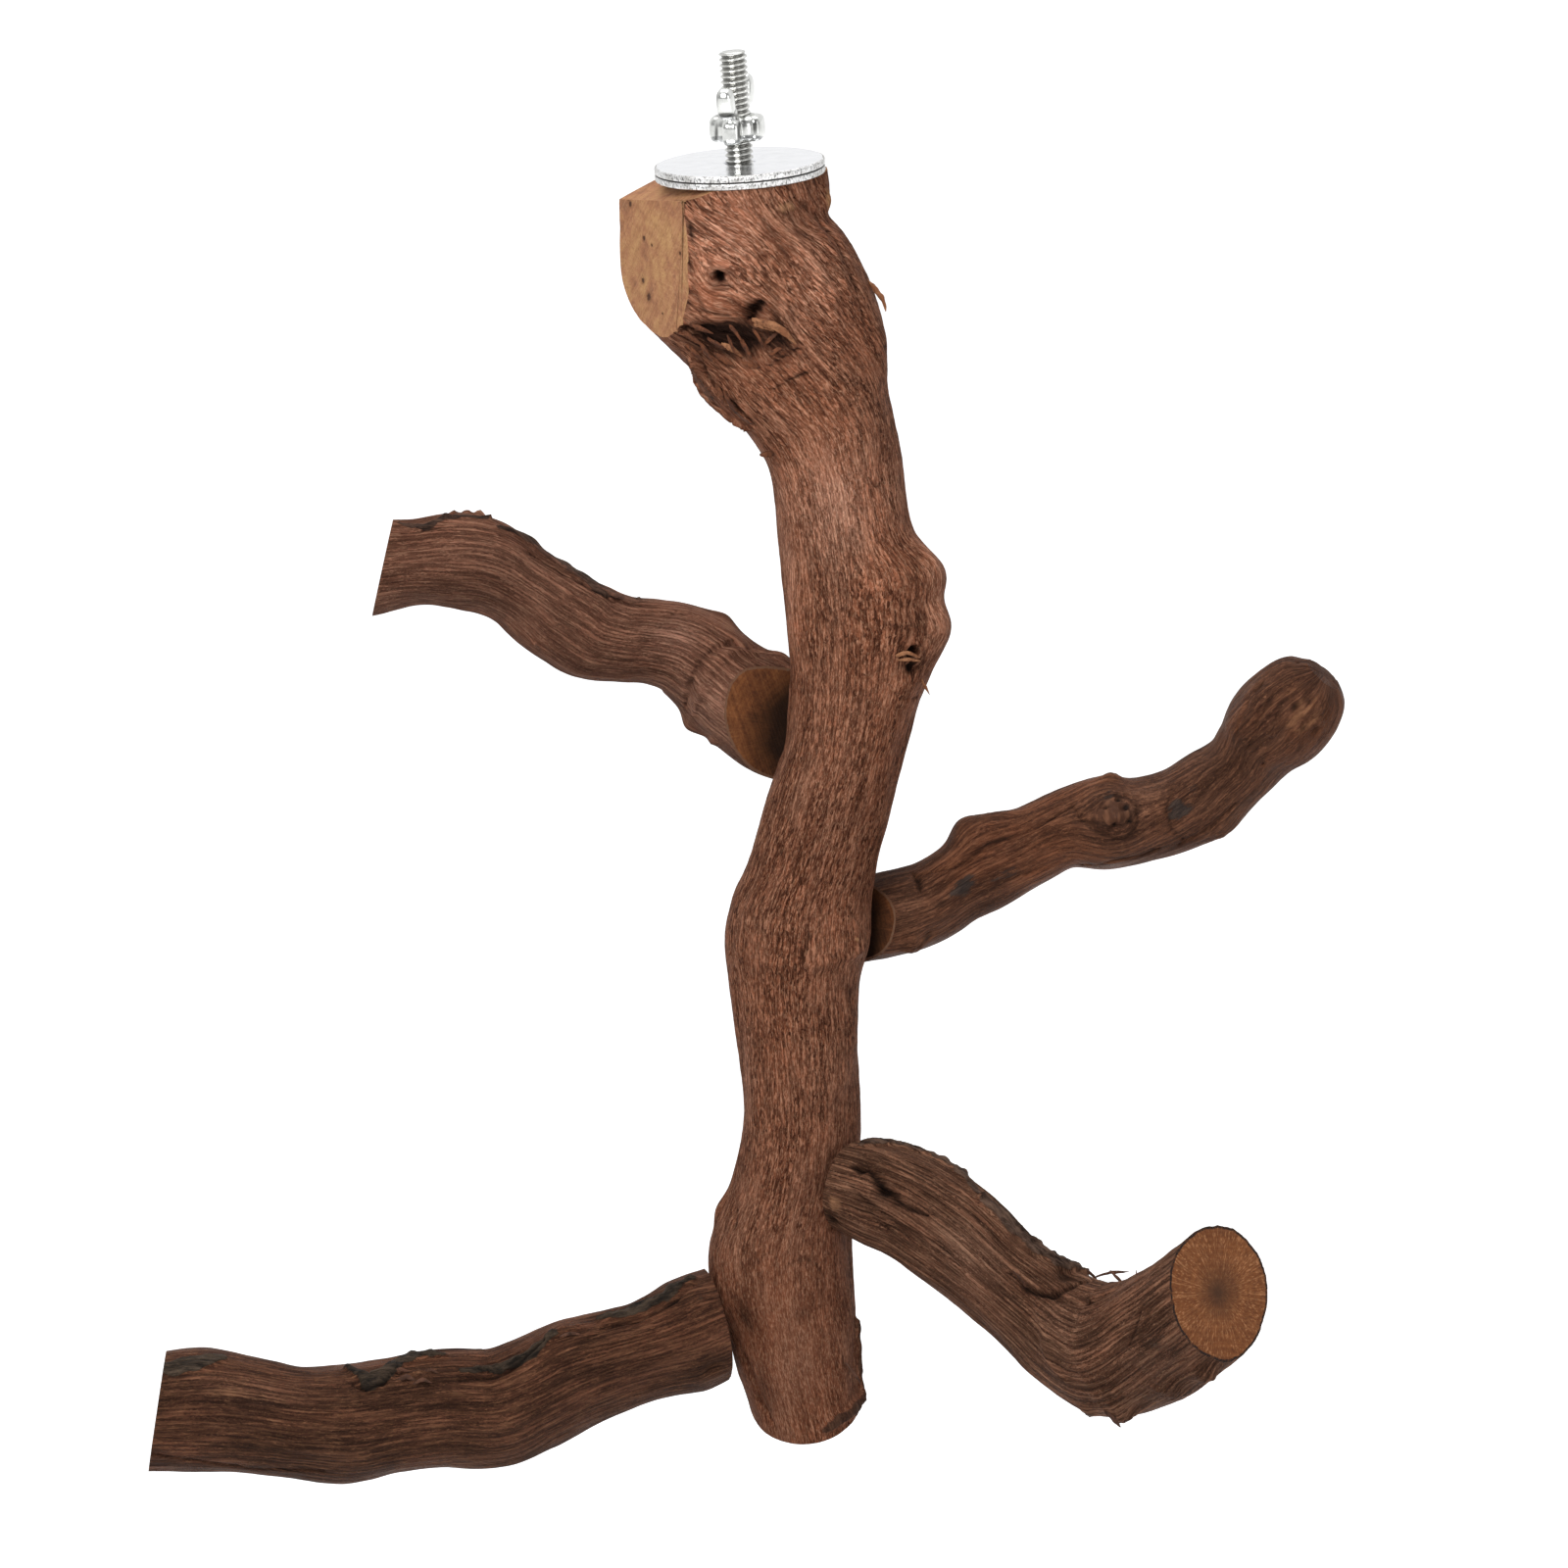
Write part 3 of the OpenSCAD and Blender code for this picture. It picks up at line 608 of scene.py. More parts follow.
# A limb's surface as rings of points, on which marks are made at spots of the photograph
class Limb:
    def __init__(self, grid, centres):
        self.rings, self.sides = grid.shape[:2]
        self.grid = grid
        self.centres = centres
        self.points = grid.reshape(-1, 3)
        along = np.gradient(grid, axis=0)
        around = np.roll(grid, -1, 1) - np.roll(grid, 1, 1)
        normals = unit(np.cross(around, along) + 1e-15)
        outward = np.sum(normals * (grid - centres[:, None]), -1, keepdims=True)
        self.normals = (normals * np.sign(outward.sum())).reshape(-1, 3)
        self.runs = np.repeat(unit(np.gradient(centres, axis=0)), self.sides, 0)
        self.spots = spotOf(self.points)
        self.facing = -self.normals @ screenIn
        self.nearness = self.points @ screenIn / pixel
        self.lengths = np.concatenate([[0], np.cumsum(np.linalg.norm(np.diff(centres, axis=0), axis=1))])
        self.rise = np.zeros(len(self.points))
        self.marks = {name: np.zeros(len(self.points)) for name in markNames}
        self.bend = np.zeros(len(self.points))

    # The surface point at a spot, on the side that the photograph shows (1) or on the other (-1)
    def find(self, spot, side=1):
        seen = self.facing * side > -0.05   # a little past the edge still counts
        far = np.linalg.norm(self.spots - np.asarray(spot[:2], float), axis=1) + 0.03 * side * self.nearness
        return int(np.argmin(np.where(seen, far, np.inf)))

    # The surface's normal at a point, and the directions across and along the grain there
    def frameAt(self, k):
        n, run = self.normals[k], self.runs[k]
        lengthwise = unit(run - (run @ n) * n)
        return n, np.cross(n, lengthwise), lengthwise

    def paint(self, share, effects):
        for name, strength in effects.items():
            self.marks[name] = np.maximum(self.marks[name], share * strength)

    # A round bump or hollow: size across and along the grain in pixels, tilt in degrees, rise in millimetres
    def spot(self, spot, across, along, rise, tilt=0, side=1, flat=1.0, **effects):
        k = self.find(spot, side)
        n, crosswise, lengthwise = self.frameAt(k)
        away = self.points - self.points[k]
        u, v, w = away @ crosswise, away @ lengthwise, away @ n
        c, s = math.cos(math.radians(tilt)), math.sin(math.radians(tilt))
        u, v = u * c + v * s, v * c - u * s
        far = np.sqrt((u / (across * pixel)) ** 2 + (v / (along * pixel)) ** 2)
        reach = 2.5 * max(across, along) * pixel
        share = np.exp(-far ** (2 * flat)) * (np.abs(w) < reach) * (self.normals @ n > -0.3)
        self.rise += share * rise * millimetre
        self.paint(share, effects)

    # A hole left by a twig: a pit with a raised lip that the grain flows round; depth and lip in millimetres
    def knot(self, spot, radius, depth, lip, side=1):
        k = self.find(spot, side)
        away = np.linalg.norm(self.points - self.points[k], axis=1) / (radius * pixel)
        near = self.normals @ self.normals[k] > 0
        pit = (1 - easeBetween(0.55, 1.05, away)) * near
        ringLip = np.exp(-((away - 1.35) / 0.35) ** 2) * near
        self.rise += (ringLip * lip - pit * depth) * millimetre
        # Painted shade: the pit is painted dark
        self.paint(pit, {"dark": 1.0})
        self.flow(k, radius * 1.3)

    # Bends the grain round a knot, as a stream bends round a post
    def flow(self, k, radius):
        n, crosswise, lengthwise = self.frameAt(k)
        away = self.points - self.points[k]
        u, v = away @ crosswise, away @ lengthwise
        r2 = (radius * pixel) ** 2
        fade = np.exp(-(u ** 2 + v ** 2) / (9 * r2)) * (self.normals @ n > 0)
        self.bend -= u * r2 / (u ** 2 + v ** 2 + r2) * fade

    # Distance in metres from a line drawn over the surface through spots, and how far along it lies
    def distanceTo(self, line, side=1):
        anchors = self.points[[self.find(spot, side) for spot in line]]
        best = np.full(len(self.points), np.inf)
        progress = np.zeros(len(self.points))
        for i in range(len(anchors) - 1):
            a, b = anchors[i], anchors[i + 1]
            span = b - a
            f = np.clip((self.points - a) @ span / max(span @ span, 1e-12), 0, 1)
            far = np.linalg.norm(self.points - a - f[:, None] * span, axis=1)
            closer = far < best
            best = np.where(closer, far, best)
            progress = np.where(closer, (i + f) / (len(anchors) - 1), progress)
        return best, progress

    # A crack, groove or fold line that thins towards its ends: width in pixels and rise in millimetres
    def line(self, line, width, rise, side=1, **effects):
        far, progress = self.distanceTo(line, side)
        wide = width * pixel * (1 + 0.35 * ripple(self.points, 0.004, 1))
        wide = wide * (0.35 + 0.65 * np.sin(np.pi * np.clip(progress, 0.02, 0.98)))
        share = np.exp(-(far / wide) ** 2)
        self.rise += share * rise * millimetre
        self.paint(share, effects)

    # A strip of bark or peeled wood: half width in pixels along it, with a ragged stepped edge
    def strip(self, line, widths, rise, seed, side=1, ragged=0.3, **effects):
        far, progress = self.distanceTo(line, side)
        half = np.interp(progress, np.linspace(0, 1, len(widths)), widths) * pixel
        half = half * (1 + ragged * ripple(self.points, 0.006, seed))
        soft = 0.6 * millimetre
        share = 1 - easeBetween(-soft, soft, far - half)
        self.rise += share * rise * millimetre * (1 + 0.25 * ripple(self.points, 0.003, seed + 1))
        self.paint(share, effects)

    # Places along and round the limb for the bark's pattern, as a cylinder of the limb's mean girth
    def grain(self, twist):
        turn = np.tile(np.arange(self.sides) * 2 * math.pi / self.sides, self.rings)
        girth = np.linalg.norm(self.grid - self.centres[:, None], axis=-1).mean()
        length = np.repeat(self.lengths, self.sides)
        angle = turn + np.repeat(twist, self.sides) + self.bend / girth
        return np.stack([girth * np.cos(angle), girth * np.sin(angle), length], -1)

    def mesh(self, name, twist):
        points = self.points + self.normals * self.rise[:, None]
        hubs = np.stack([points[:self.sides].mean(0), points[-self.sides:].mean(0)])
        rings, sides = self.rings, self.sides
        i, k = np.meshgrid(np.arange(rings - 1), np.arange(sides), indexing="ij")
        a = i * sides + k
        b = i * sides + (k + 1) % sides
        quads = np.stack([a, a + sides, b + sides, b], -1).reshape(-1, 4)
        ring = np.arange(sides)
        after = (ring + 1) % sides
        first, last = len(points), len(points) + 1
        tail = (rings - 1) * sides
        fans = [(first, k, n) for k, n in zip(ring, after)]
        fans += [(last, tail + n, tail + k) for k, n in zip(ring, after)]
        mesh = bpy.data.meshes.new(name)
        mesh.from_pydata(np.vstack([points, hubs]).tolist(), [], quads.tolist() + fans)
        values = {"grain": self.grain(twist), **self.marks}
        for label, value in values.items():
            kind = "FLOAT_VECTOR" if value.ndim == 2 else "FLOAT"
            value = np.concatenate([value, value[:1], value[-1:]]).astype(np.float32)
            layer = mesh.attributes.new(label, kind, "POINT")
            layer.data.foreach_set("vector" if value.ndim == 2 else "value", value.ravel())
        closeMesh(mesh, weld=False)
        return mesh


# The flat frame of a cut: two directions in its plane
def flatFrame(outward):
    across = np.array([1.0, 0.0, 0.0])
    if abs(outward[2]) < 0.9:
        across = unit(np.cross([0.0, 0.0, 1.0], outward))
    return across, np.cross(outward, across)


rimWidth = 0.0006   # the band of bark that shows round a sawn face


# Saws a piece off at planes and closes the cuts: place, direction of what goes, pith, material, bark rim
def sawOff(piece, cuts):
    mesh = piece.data
    work = bmesh.new()
    work.from_mesh(mesh)
    flat = work.loops.layers.uv.new("sawn")
    rim = work.faces.layers.float.new("rim")
    for index, (place, outward, pith, sawn, rimmed) in enumerate(cuts, 1):
        mesh.materials.append(sawn)
        geometry = list(work.verts) + list(work.edges) + list(work.faces)
        cut = bmesh.ops.bisect_plane(work, geom=geometry, dist=weldDistance, plane_co=Vector(place),
                                     plane_no=Vector(outward), clear_outer=True)["geom_cut"]
        edges = [e for e in cut if isinstance(e, bmesh.types.BMEdge) and e.is_boundary]
        across, upward = flatFrame(outward)
        caps = bmesh.ops.edgeloop_fill(work, edges=edges, mat_nr=index, use_smooth=False)["faces"]
        ring = bmesh.ops.inset_region(work, faces=caps, thickness=rimWidth, use_boundary=True)["faces"]
        for face in ring:
            face[rim] = float(rimmed)
        made = bmesh.ops.triangulate(work, faces=caps + ring)["faces"]
        for face in made:
            if face.normal.dot(Vector(outward)) < 0:
                face.normal_flip()
            face.smooth = False
            for corner in face.loops:
                away = np.array(corner.vert.co) - pith
                corner[flat].uv = (away @ across, away @ upward)
        for edge in edges:
            edge.smooth = False
    work.to_mesh(mesh)
    work.free()
    mesh.update()


# Where a spot in the picture lies on a cut, in the cut's own frame
def onCut(spot, place, outward, pith):
    across, upward = flatFrame(outward)
    start = placeOf([*spot, 0.0])
    point = start + screenIn * ((place - start) @ outward / (screenIn @ outward))
    return (point - pith) @ across, (point - pith) @ upward


trunkShape = {
    # right, down, depth, then its reach to the left, right and back
    "rows": [
        [750, 150, 0, 158, 90, 82], [757, 195, 0, 160, 89, 84], [760, 218, 0, 164, 85, 85],
        [766, 240, 0, 168, 96, 86], [776, 280, 0, 172, 107, 86], [787, 315, 0, 150, 108, 84],
        [798, 345, 0, 128, 107, 80], [809, 375, 0, 106, 101, 76], [820, 400, 0, 101, 91, 72],
        [836, 432, 0, 82, 78, 70], [847, 465, 2, 69, 71, 68], [856, 505, 4, 65, 67, 66],
        [863, 545, 4, 67, 70, 66], [868, 580, 2, 69, 95, 68], [871, 610, 0, 71, 92, 68],
        [873, 640, -2, 71, 97, 68], [873, 680, -4, 68, 81, 67], [869, 720, -4, 66, 69, 66],
        [862, 760, -3, 63, 65, 65], [852, 800, 0, 65, 65, 65], [841, 840, 2, 64, 65, 65],
        [829, 880, 4, 64, 65, 65], [817, 920, 4, 70, 69, 67], [813, 960, 3, 73, 72, 70],
        [811, 1000, 2, 67, 67, 66], [813, 1040, 0, 64, 65, 63], [815, 1080, 0, 62, 63, 62],
        [817, 1120, 0, 61, 61, 61], [817, 1160, 0, 62, 62, 62], [812, 1200, 0, 65, 64, 63],
        [803, 1240, 0, 68, 66, 67], [797, 1280, 0, 72, 72, 70], [799, 1320, 0, 71, 71, 70],
        [806, 1360, 0, 64, 67, 66], [813, 1400, 0, 61, 62, 62], [822, 1440, 0, 58, 59, 58],
        [831, 1480, 0, 56, 56, 57], [840, 1520, 0, 54, 54, 55],
    ],
    "rings": 620,
    "sides": 146,
    "woodTop": -0.0016,
    "stubFace": [[636, 195, 45], [636, 320, 45], [700, 260, -74]],
    "shoulder": [[712, 204, -84], [690, 215, -88], [672, 199, 0]],
    # small knots on the stub's face: right, down, radius
    "stubKnots": [(657, 243, 2.0), (665, 250, 1.2), (694, 259, 1.6), (656, 286, 2.2),
                  (662, 303, 3.4), (676, 320, 1.2), (641, 201, 2.6), (643, 208, 2.4)],
    "foot": [[766, 1448, 0], [880, 1430, 0], [822, 1475, -57]],
    "pith": {"stub": [675, 275, 20], "shoulder": [700, 230, 0], "foot": [822, 1455, 0]},
    # how far the grain winds round the limb, in radians, at some of the rows
    "twistRows": [0, 3, 5, 7, 9, 37],
    "twistTurns": [1.5, 0.95, 0.55, 0.2, 0.0, 0.0],
    "grain": (0.00012, 0.0014, 0.008, 0.0005, 0.012, 0.0011, 3.0),
}


# The burl and the knots round it
def markBurl(limb):
    limb.spot((948, 575), 16, 24, 1.6, rough=0.3)
    limb.spot((958, 635), 14, 20, 2.0, rough=0.3)
    limb.spot((925, 600), 30, 50, 1.2)
    limb.spot((956, 600), 16, 60, 0.0, smooth=0.8, lit=0.75)
    limb.spot((924, 620), 16, 70, 0.0, shade=0.3)
    limb.spot((940, 655), 16, 14, -0.8, rough=0.6)
    limb.knot((932, 666), 8, 3.0, 0.8)
    limb.spot((929, 681), 6, 8, -2.0, dark=1.2, rough=0.6)
    limb.spot((932, 672), 17, 18, 0.3, dark=0.5, rough=0.8)
    limb.spot((925, 700), 13, 12, 0.9)
    limb.line([(908, 700), (918, 712), (934, 712), (946, 700)], 2.2, -0.4, dark=0.5)


# The head: a round hole, a torn cluster of knots, a slit and cracks
def markHead(limb):
    limb.spot((697, 212), 13, 18, -1.6)
    limb.spot((720, 300), 15, 24, 1.3, smooth=0.8)
    limb.spot((756, 232), 26, 34, 0.0, smooth=0.6)
    limb.spot((762, 380), 26, 26, 0.0, smooth=0.6)
    limb.line([(697, 208), (704, 238), (706, 272), (703, 310), (686, 348)], 3, 0.0, dark=0.8)
    limb.knot((734, 283), 7.5, 5.0, 1.2)
    limb.spot((733, 284), 17, 17, 0.0, dark=0.28)
    limb.spot((728, 310), 12, 10, 0.9, rough=0.5, smooth=0.6)
    limb.knot((700, 336), 7, 3.2, 0.8)
    limb.spot((742, 349), 46, 24, -2.0, tilt=12, flat=1.9, dark=1.0, rough=1.8)
    limb.spot((716, 340), 11, 9, -1.6, dark=1.0, rough=1.4)
    limb.spot((742, 348), 16, 12, -2.0, dark=1.2, rough=1.8)
    limb.spot((760, 358), 14, 12, -1.6, dark=1.1, rough=1.8)
    limb.spot((788, 344), 20, 28, 0.5, flat=1.6, dark=0.75, rough=1.9)
    limb.spot((770, 320), 9, 12, -3.2, dark=1.1, rough=0.8)
    limb.spot((785, 308), 9, 9, 0.9, dark=0.2, rough=0.9)
    limb.line([(763, 330), (771, 318), (779, 308)], 5.5, -2.4, dark=1.1)
    limb.line([(785, 374), (800, 364), (816, 356)], 2.0, -0.6, dark=0.8)
    limb.line([(788, 398), (806, 388), (823, 381)], 1.8, -0.5, dark=0.75)
    limb.flow(limb.find((740, 340)), 20)
    limb.flow(limb.find((775, 330)), 12)
    limb.line([(712, 300), (722, 318), (742, 322)], 2.0, -0.7, dark=0.6)
    limb.line([(706, 268), (708, 292), (716, 318)], 2.2, -0.6, dark=0.5)


# The fold of bark on the left of the neck, and where the whole trunk is lit, shaded or smooth
def markNeck(limb):
    limb.line([(704, 366), (713, 388), (725, 408), (741, 424), (762, 438)], 5, 1.3, rough=0.3)
    limb.line([(712, 366), (724, 388), (739, 405), (754, 419), (770, 434)], 3.8, -2.0, dark=1.1,
              rough=0.5)
    limb.spot((745, 245), 42, 60, 0.0, lit=0.8)
    limb.spot((830, 290), 42, 70, 0.0, lit=0.55)
    limb.spot((858, 510), 64, 64, 0.0, lit=0.75)
    limb.spot((800, 425), 30, 30, 0.0, lit=0.2)
    limb.spot((806, 600), 14, 70, 0.0, lit=0.5)
    limb.spot((764, 1090), 12, 70, 0.0, lit=0.3)
    limb.spot((802, 1350), 90, 120, 0.0, shade=0.4)
    limb.spot((800, 1370), 70, 110, 0.0, smooth=0.95)
    limb.spot((860, 1180), 26, 60, 0.0, smooth=0.5)
    limb.spot((806, 560), 40, 90, 0.0, smooth=0.4)
    limb.spot((845, 470), 30, 70, 0.0, smooth=0.6)
    limb.spot((792, 415), 12, 12, 0.6)
    limb.spot((826, 410), 5, 8, -0.3, dark=0.45)


# Ridges that run from the washers down the right side of the head
def markRidges(limb):
    limb.line([(770, 208), (800, 230), (826, 262), (846, 300), (858, 350)], 7, 0.9)
    limb.line([(800, 205), (830, 228), (852, 262), (866, 300)], 5, 0.8)
    limb.line([(757, 212), (778, 226), (800, 250), (815, 280)], 4, -0.7, dark=0.4)
    limb.line([(812, 203), (838, 226), (858, 250), (872, 285), (885, 330)], 3.5, -0.9, dark=0.55)
    limb.line([(783, 210), (806, 222), (824, 240)], 3, -0.5, dark=0.6)
    limb.spot((800, 212), 14, 10, 0.5, pale=0.55)
    limb.spot((820, 240), 6, 14, -0.3, dark=0.4, tilt=-35)
    limb.spot((843, 204), 8, 14, 1.2, pale=0.75)
    limb.spot((860, 380), 28, 60, 0.9)


# Rings, dents, cracks and peeled bark lower down
def markLower(limb):
    limb.spot((875, 962), 12, 20, 1.2)
    limb.line([(745, 975), (790, 985), (835, 984), (868, 975), (884, 962)], 5, 0.7)
    limb.line([(750, 990), (795, 998), (840, 996), (880, 980)], 4, -0.5, dark=0.25)
    limb.line([(868, 925), (876, 945), (874, 965)], 3, -0.6, dark=0.4)
    limb.line([(822, 935), (826, 955), (818, 975), (812, 990)], 2.5, -0.5, dark=0.6)
    limb.spot((872, 959), 2.5, 2.5, 0.4, pale=1.0)
    limb.line([(812, 775), (870, 840)], 2, -0.2, dark=0.2)
    limb.spot((798, 870), 8, 7, -0.3, dark=0.45, rough=0.4)
    limb.line([(886, 488), (892, 496), (903, 492)], 1.8, -0.4, dark=0.65)
    limb.line([(890, 500), (894, 530), (895, 560), (897, 580)], 1.6, -0.4, dark=0.55)
    limb.line([(743, 1240), (752, 1236), (752, 1250), (746, 1262)], 2.2, -0.6, dark=0.7)
    limb.spot((735, 1236), 7, 16, 1.0, bark=0.5)
    limb.spot((765, 1275), 40, 30, 1.0)
    limb.line([(805, 1290), (822, 1285), (836, 1292), (842, 1305)], 3, -0.6, dark=0.35)
    limb.spot((825, 1310), 22, 20, 0.8, rough=0.3)
    limb.spot((820, 1345), 20, 10, -0.6, dark=0.3, rough=0.4)
    limb.spot((758, 1345), 14, 26, -0.5, dark=0.5)
    limb.spot((778, 1425), 10, 40, -0.6, dark=0.45)
    limb.line([(752, 1370), (764, 1400), (776, 1435), (790, 1462)], 5, -0.9, dark=0.4)
    limb.strip([(884, 1420), (874, 1436), (858, 1450), (842, 1460)], [2, 6, 6, 3], 1.3, bark=0.8, seed=8)
    limb.line([(868, 1290), (872, 1330), (874, 1365), (872, 1395)], 3.5, -0.8, dark=0.5)
    limb.strip([(879, 1350), (880, 1385), (881, 1415)], [3, 4, 5], 1.1, bark=0.7, seed=9)


# The side that the photograph doesn't show
def markBack(limb):
    limb.knot((810, 640), 7, 2.5, 1.0, side=-1)
    limb.spot((830, 1090), 16, 22, 1.2, side=-1, rough=0.4)
    limb.line([(790, 500), (800, 560), (806, 620)], 2.5, -0.6, side=-1, dark=0.5)
    limb.line([(830, 1180), (826, 1240), (818, 1300)], 2.5, -0.6, side=-1, dark=0.5)
    limb.strip([(800, 260), (816, 300), (826, 350), (832, 400)], [4, 10, 9, 3], 0.8, side=-1, bark=0.8,
               seed=12)


def markTrunk(limb):
    for mark in (markBurl, markHead, markNeck, markRidges, markLower, markBack):
        mark(limb)


def makeTrunk():
    shape = trunkShape
    rows = shape["rows"]
    t = np.linspace(0, len(rows) - 1, shape["rings"])
    row = smoothRows(rows, t)
    centres = placeOf(row[:, :3])
    angle = np.arange(shape["sides"]) * 2 * math.pi / shape["sides"]
    reach = np.where(np.cos(angle) > 0, row[:, 4:5], row[:, 3:4])
    swell = 1 + waves(angle[None], t[:, None])
    level = np.array([math.cos(lean), 0, -math.sin(lean)])
    back = np.array([0.0, 1.0, 0.0])
    grid = centres[:, None] + pixel * swell[..., None] * (
        (np.cos(angle) * reach)[..., None] * level + (np.sin(angle) * row[:, 5:6])[..., None] * back)
    limb = Limb(grid, centres)

    markTrunk(limb)
    turns = np.interp(t, shape["twistRows"], shape["twistTurns"])
    piece = newPiece("trunk_wood", limb.mesh("trunk_wood", turns))
    growGrain(piece, shape["grain"], "trunkBark")
    stubPlace, stubOut = planeThrough(shape["stubFace"], [-1, 0, 0])
    shoulderPlace, shoulderOut = planeThrough(shape["shoulder"], [0, 0, 1])
    footPlace, footOut = planeThrough(shape["foot"], [0, 0, -1])
    woodTop = np.array([0, 0, shape["woodTop"]])
    pith = {cut: placeOf(spot) for cut, spot in shape["pith"].items()}
    knots = []
    for *spot, radius in shape["stubKnots"]:
        knots.append((*onCut(spot, stubPlace, stubOut, pith["stub"]), radius * pixel))
    materials["trunkSawn"] = sawnMaterial("trunkSawn", sawnLooks["trunkSawn"], knots)
    sawn = materials["trunkSawn"]
    sawOff(piece, [
        (woodTop, np.array([0.0, 0.0, 1.0]), woodTop, sawn, False),
        (stubPlace, stubOut, pith["stub"], sawn, False),
        (shoulderPlace, shoulderOut, pith["shoulder"], sawn, False),
        (footPlace, footOut, pith["foot"], sawn, True),
    ])
    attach(piece, "trunk")
    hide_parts("trunk")
    print("trunk:", len(piece.data.polygons), "faces")
    return limb


trunkLimb = makeTrunk()


# Splinters and loose fibres: tapered, slightly ragged slivers along listed paths
def makeSplinterGroup():
    sockets = dict.fromkeys(("Rag Depth", "Rag Size", "Flatness", "Seed"), "Float")
    group, given = newGroup("splinters", {**sockets, "Sides": "Int"})
    width = storedIn(group, "width")
    paths = addNode(group, "GeometryNodeMeshToCurve", {"Mesh": given["Geometry"]})
    sized = addNode(group, "GeometryNodeSetCurveRadius", {"Curve": paths.outputs[0], "Radius": width})
    ring = addNode(group, "GeometryNodeCurvePrimitiveCircle", {"Resolution": given["Sides"], "Radius": 1.0})
    inputs = {"Geometry": ring.outputs[0], "Scale": combine(group, given["Flatness"], 1.0, 1.0)}
    section = addNode(group, "GeometryNodeTransform", inputs)
    inputs = {"Curve": sized.outputs[0], "Profile Curve": section.outputs[0], "Fill Caps": True}
    swept = addNode(group, "GeometryNodeCurveToMesh", inputs)
    if "Scale" in swept.inputs:
        setInputs(swept, {"Scale": width})
    place = addNode(group, "GeometryNodeInputPosition").outputs[0]
    inputs = {"Vector": place, "W": given["Seed"], "Scale": 1.0 / given["Rag Size"]}
    noise = addNode(group, "ShaderNodeTexNoise", inputs, noise_dimensions="4D").outputs[1]
    push = scaleOf(group, vectorOf(group, "SUBTRACT", noise, (0.5, 0.5, 0.5)), given["Rag Depth"])
    ragged = addNode(group, "GeometryNodeSetPosition", {"Geometry": swept.outputs[0], "Offset": push})
    inputs = {"Geometry": ragged.outputs[0], "Shade Smooth": False}
    return endGroup(group, given, addNode(group, "GeometryNodeSetShadeSmooth", inputs).outputs[0])


splinterGroup = makeSplinterGroup()


# Each splinter starts on the limb's surface; its spots are (right, down, lift to the viewer), in pixels
def makeSplinters(name, limb, splinters, values, body):
    verts, edges, widths = [], [], []
    rng = np.random.default_rng(int(values["Seed"]))
    steps = 5   # points to each stretch of a path
    for path, width in splinters:
        base = limb.points[limb.find(path[0][:2])]
        start = spotOf(base)
        right = [x - start[0] for x, y, lift in path]
        up = [start[1] - y for x, y, lift in path]
        lifts = [lift for x, y, lift in path]
        t = np.linspace(0, len(path) - 1, steps * (len(path) - 1) + 1)
        for i, f in enumerate(t):
            x, y, lift = smoothRows(np.stack([right, up, lifts], 1), np.array([f]))[0]
            verts.append(base + (x * screenRight + y * screenUp - lift * screenIn) * pixel)
            taper = 0.1 + 0.9 * math.sin(math.pi * (0.12 + 0.85 * f / (len(path) - 1)))
            widths.append(width * pixel * taper * rng.uniform(0.9, 1.1))
            if i:
                edges.append((len(verts) - 2, len(verts) - 1))
    mesh = bpy.data.meshes.new(name)
    mesh.from_pydata([tuple(v) for v in verts], edges, [])
    layer = mesh.attributes.new("width", "FLOAT", "POINT")
    layer.data.foreach_set("value", np.array(widths, np.float32))
    piece = newPiece(name, mesh)
    runGroup(piece, splinterGroup, values)
    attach(piece, body)
    print(name, len(piece.data.polygons), "faces")


def splinterMaterial(name, look):
    material, tree, shader = newMaterial(name)
    where = addNode(tree, "ShaderNodeTexCoord").outputs["Object"]
    tone = noiseOf(tree, where, 0.003, 4, 0.65, look["seed"])
    fleck = noiseOf(tree, where, 0.0007, 3, 0.6, look["seed"] + 2)
    colour = mixOf(tree, tone.ramp(0.4, 0.6), tint(*look["base"]), tint(*look["warm"]))
    colour = layered(tree, colour, look, [(fleck.ramp(0.52, 0.66, 0, 0.7), "dark")])
    inputs = {"Base Color": colour, "Roughness": 0.7, "Specular IOR Level": 0.15}
    finishShader(shader, inputs, fleck, 0.0002)
    return material


splinterLooks = {
    "tornWood": {"seed": 1.0, "base": (138, 95, 66), "warm": (112, 71, 47), "dark": (66, 40, 27)},
    # The chips are the torn wood made darker: painted shade for chips that lie down in the torn hollow
    "shadedTornChips": {"seed": 2.0, "base": (98, 58, 37), "warm": (66, 38, 25), "dark": (30, 18, 13)},
    "barkShred": {"seed": 3.0, "base": (92, 62, 48), "warm": (66, 44, 34), "dark": (34, 22, 17)},
}
materials.update({name: splinterMaterial(name, look) for name, look in splinterLooks.items()})
splinterValues = {"Rag Depth": 0.0007, "Rag Size": 0.0014, "Flatness": 0.4, "Sides": 6}

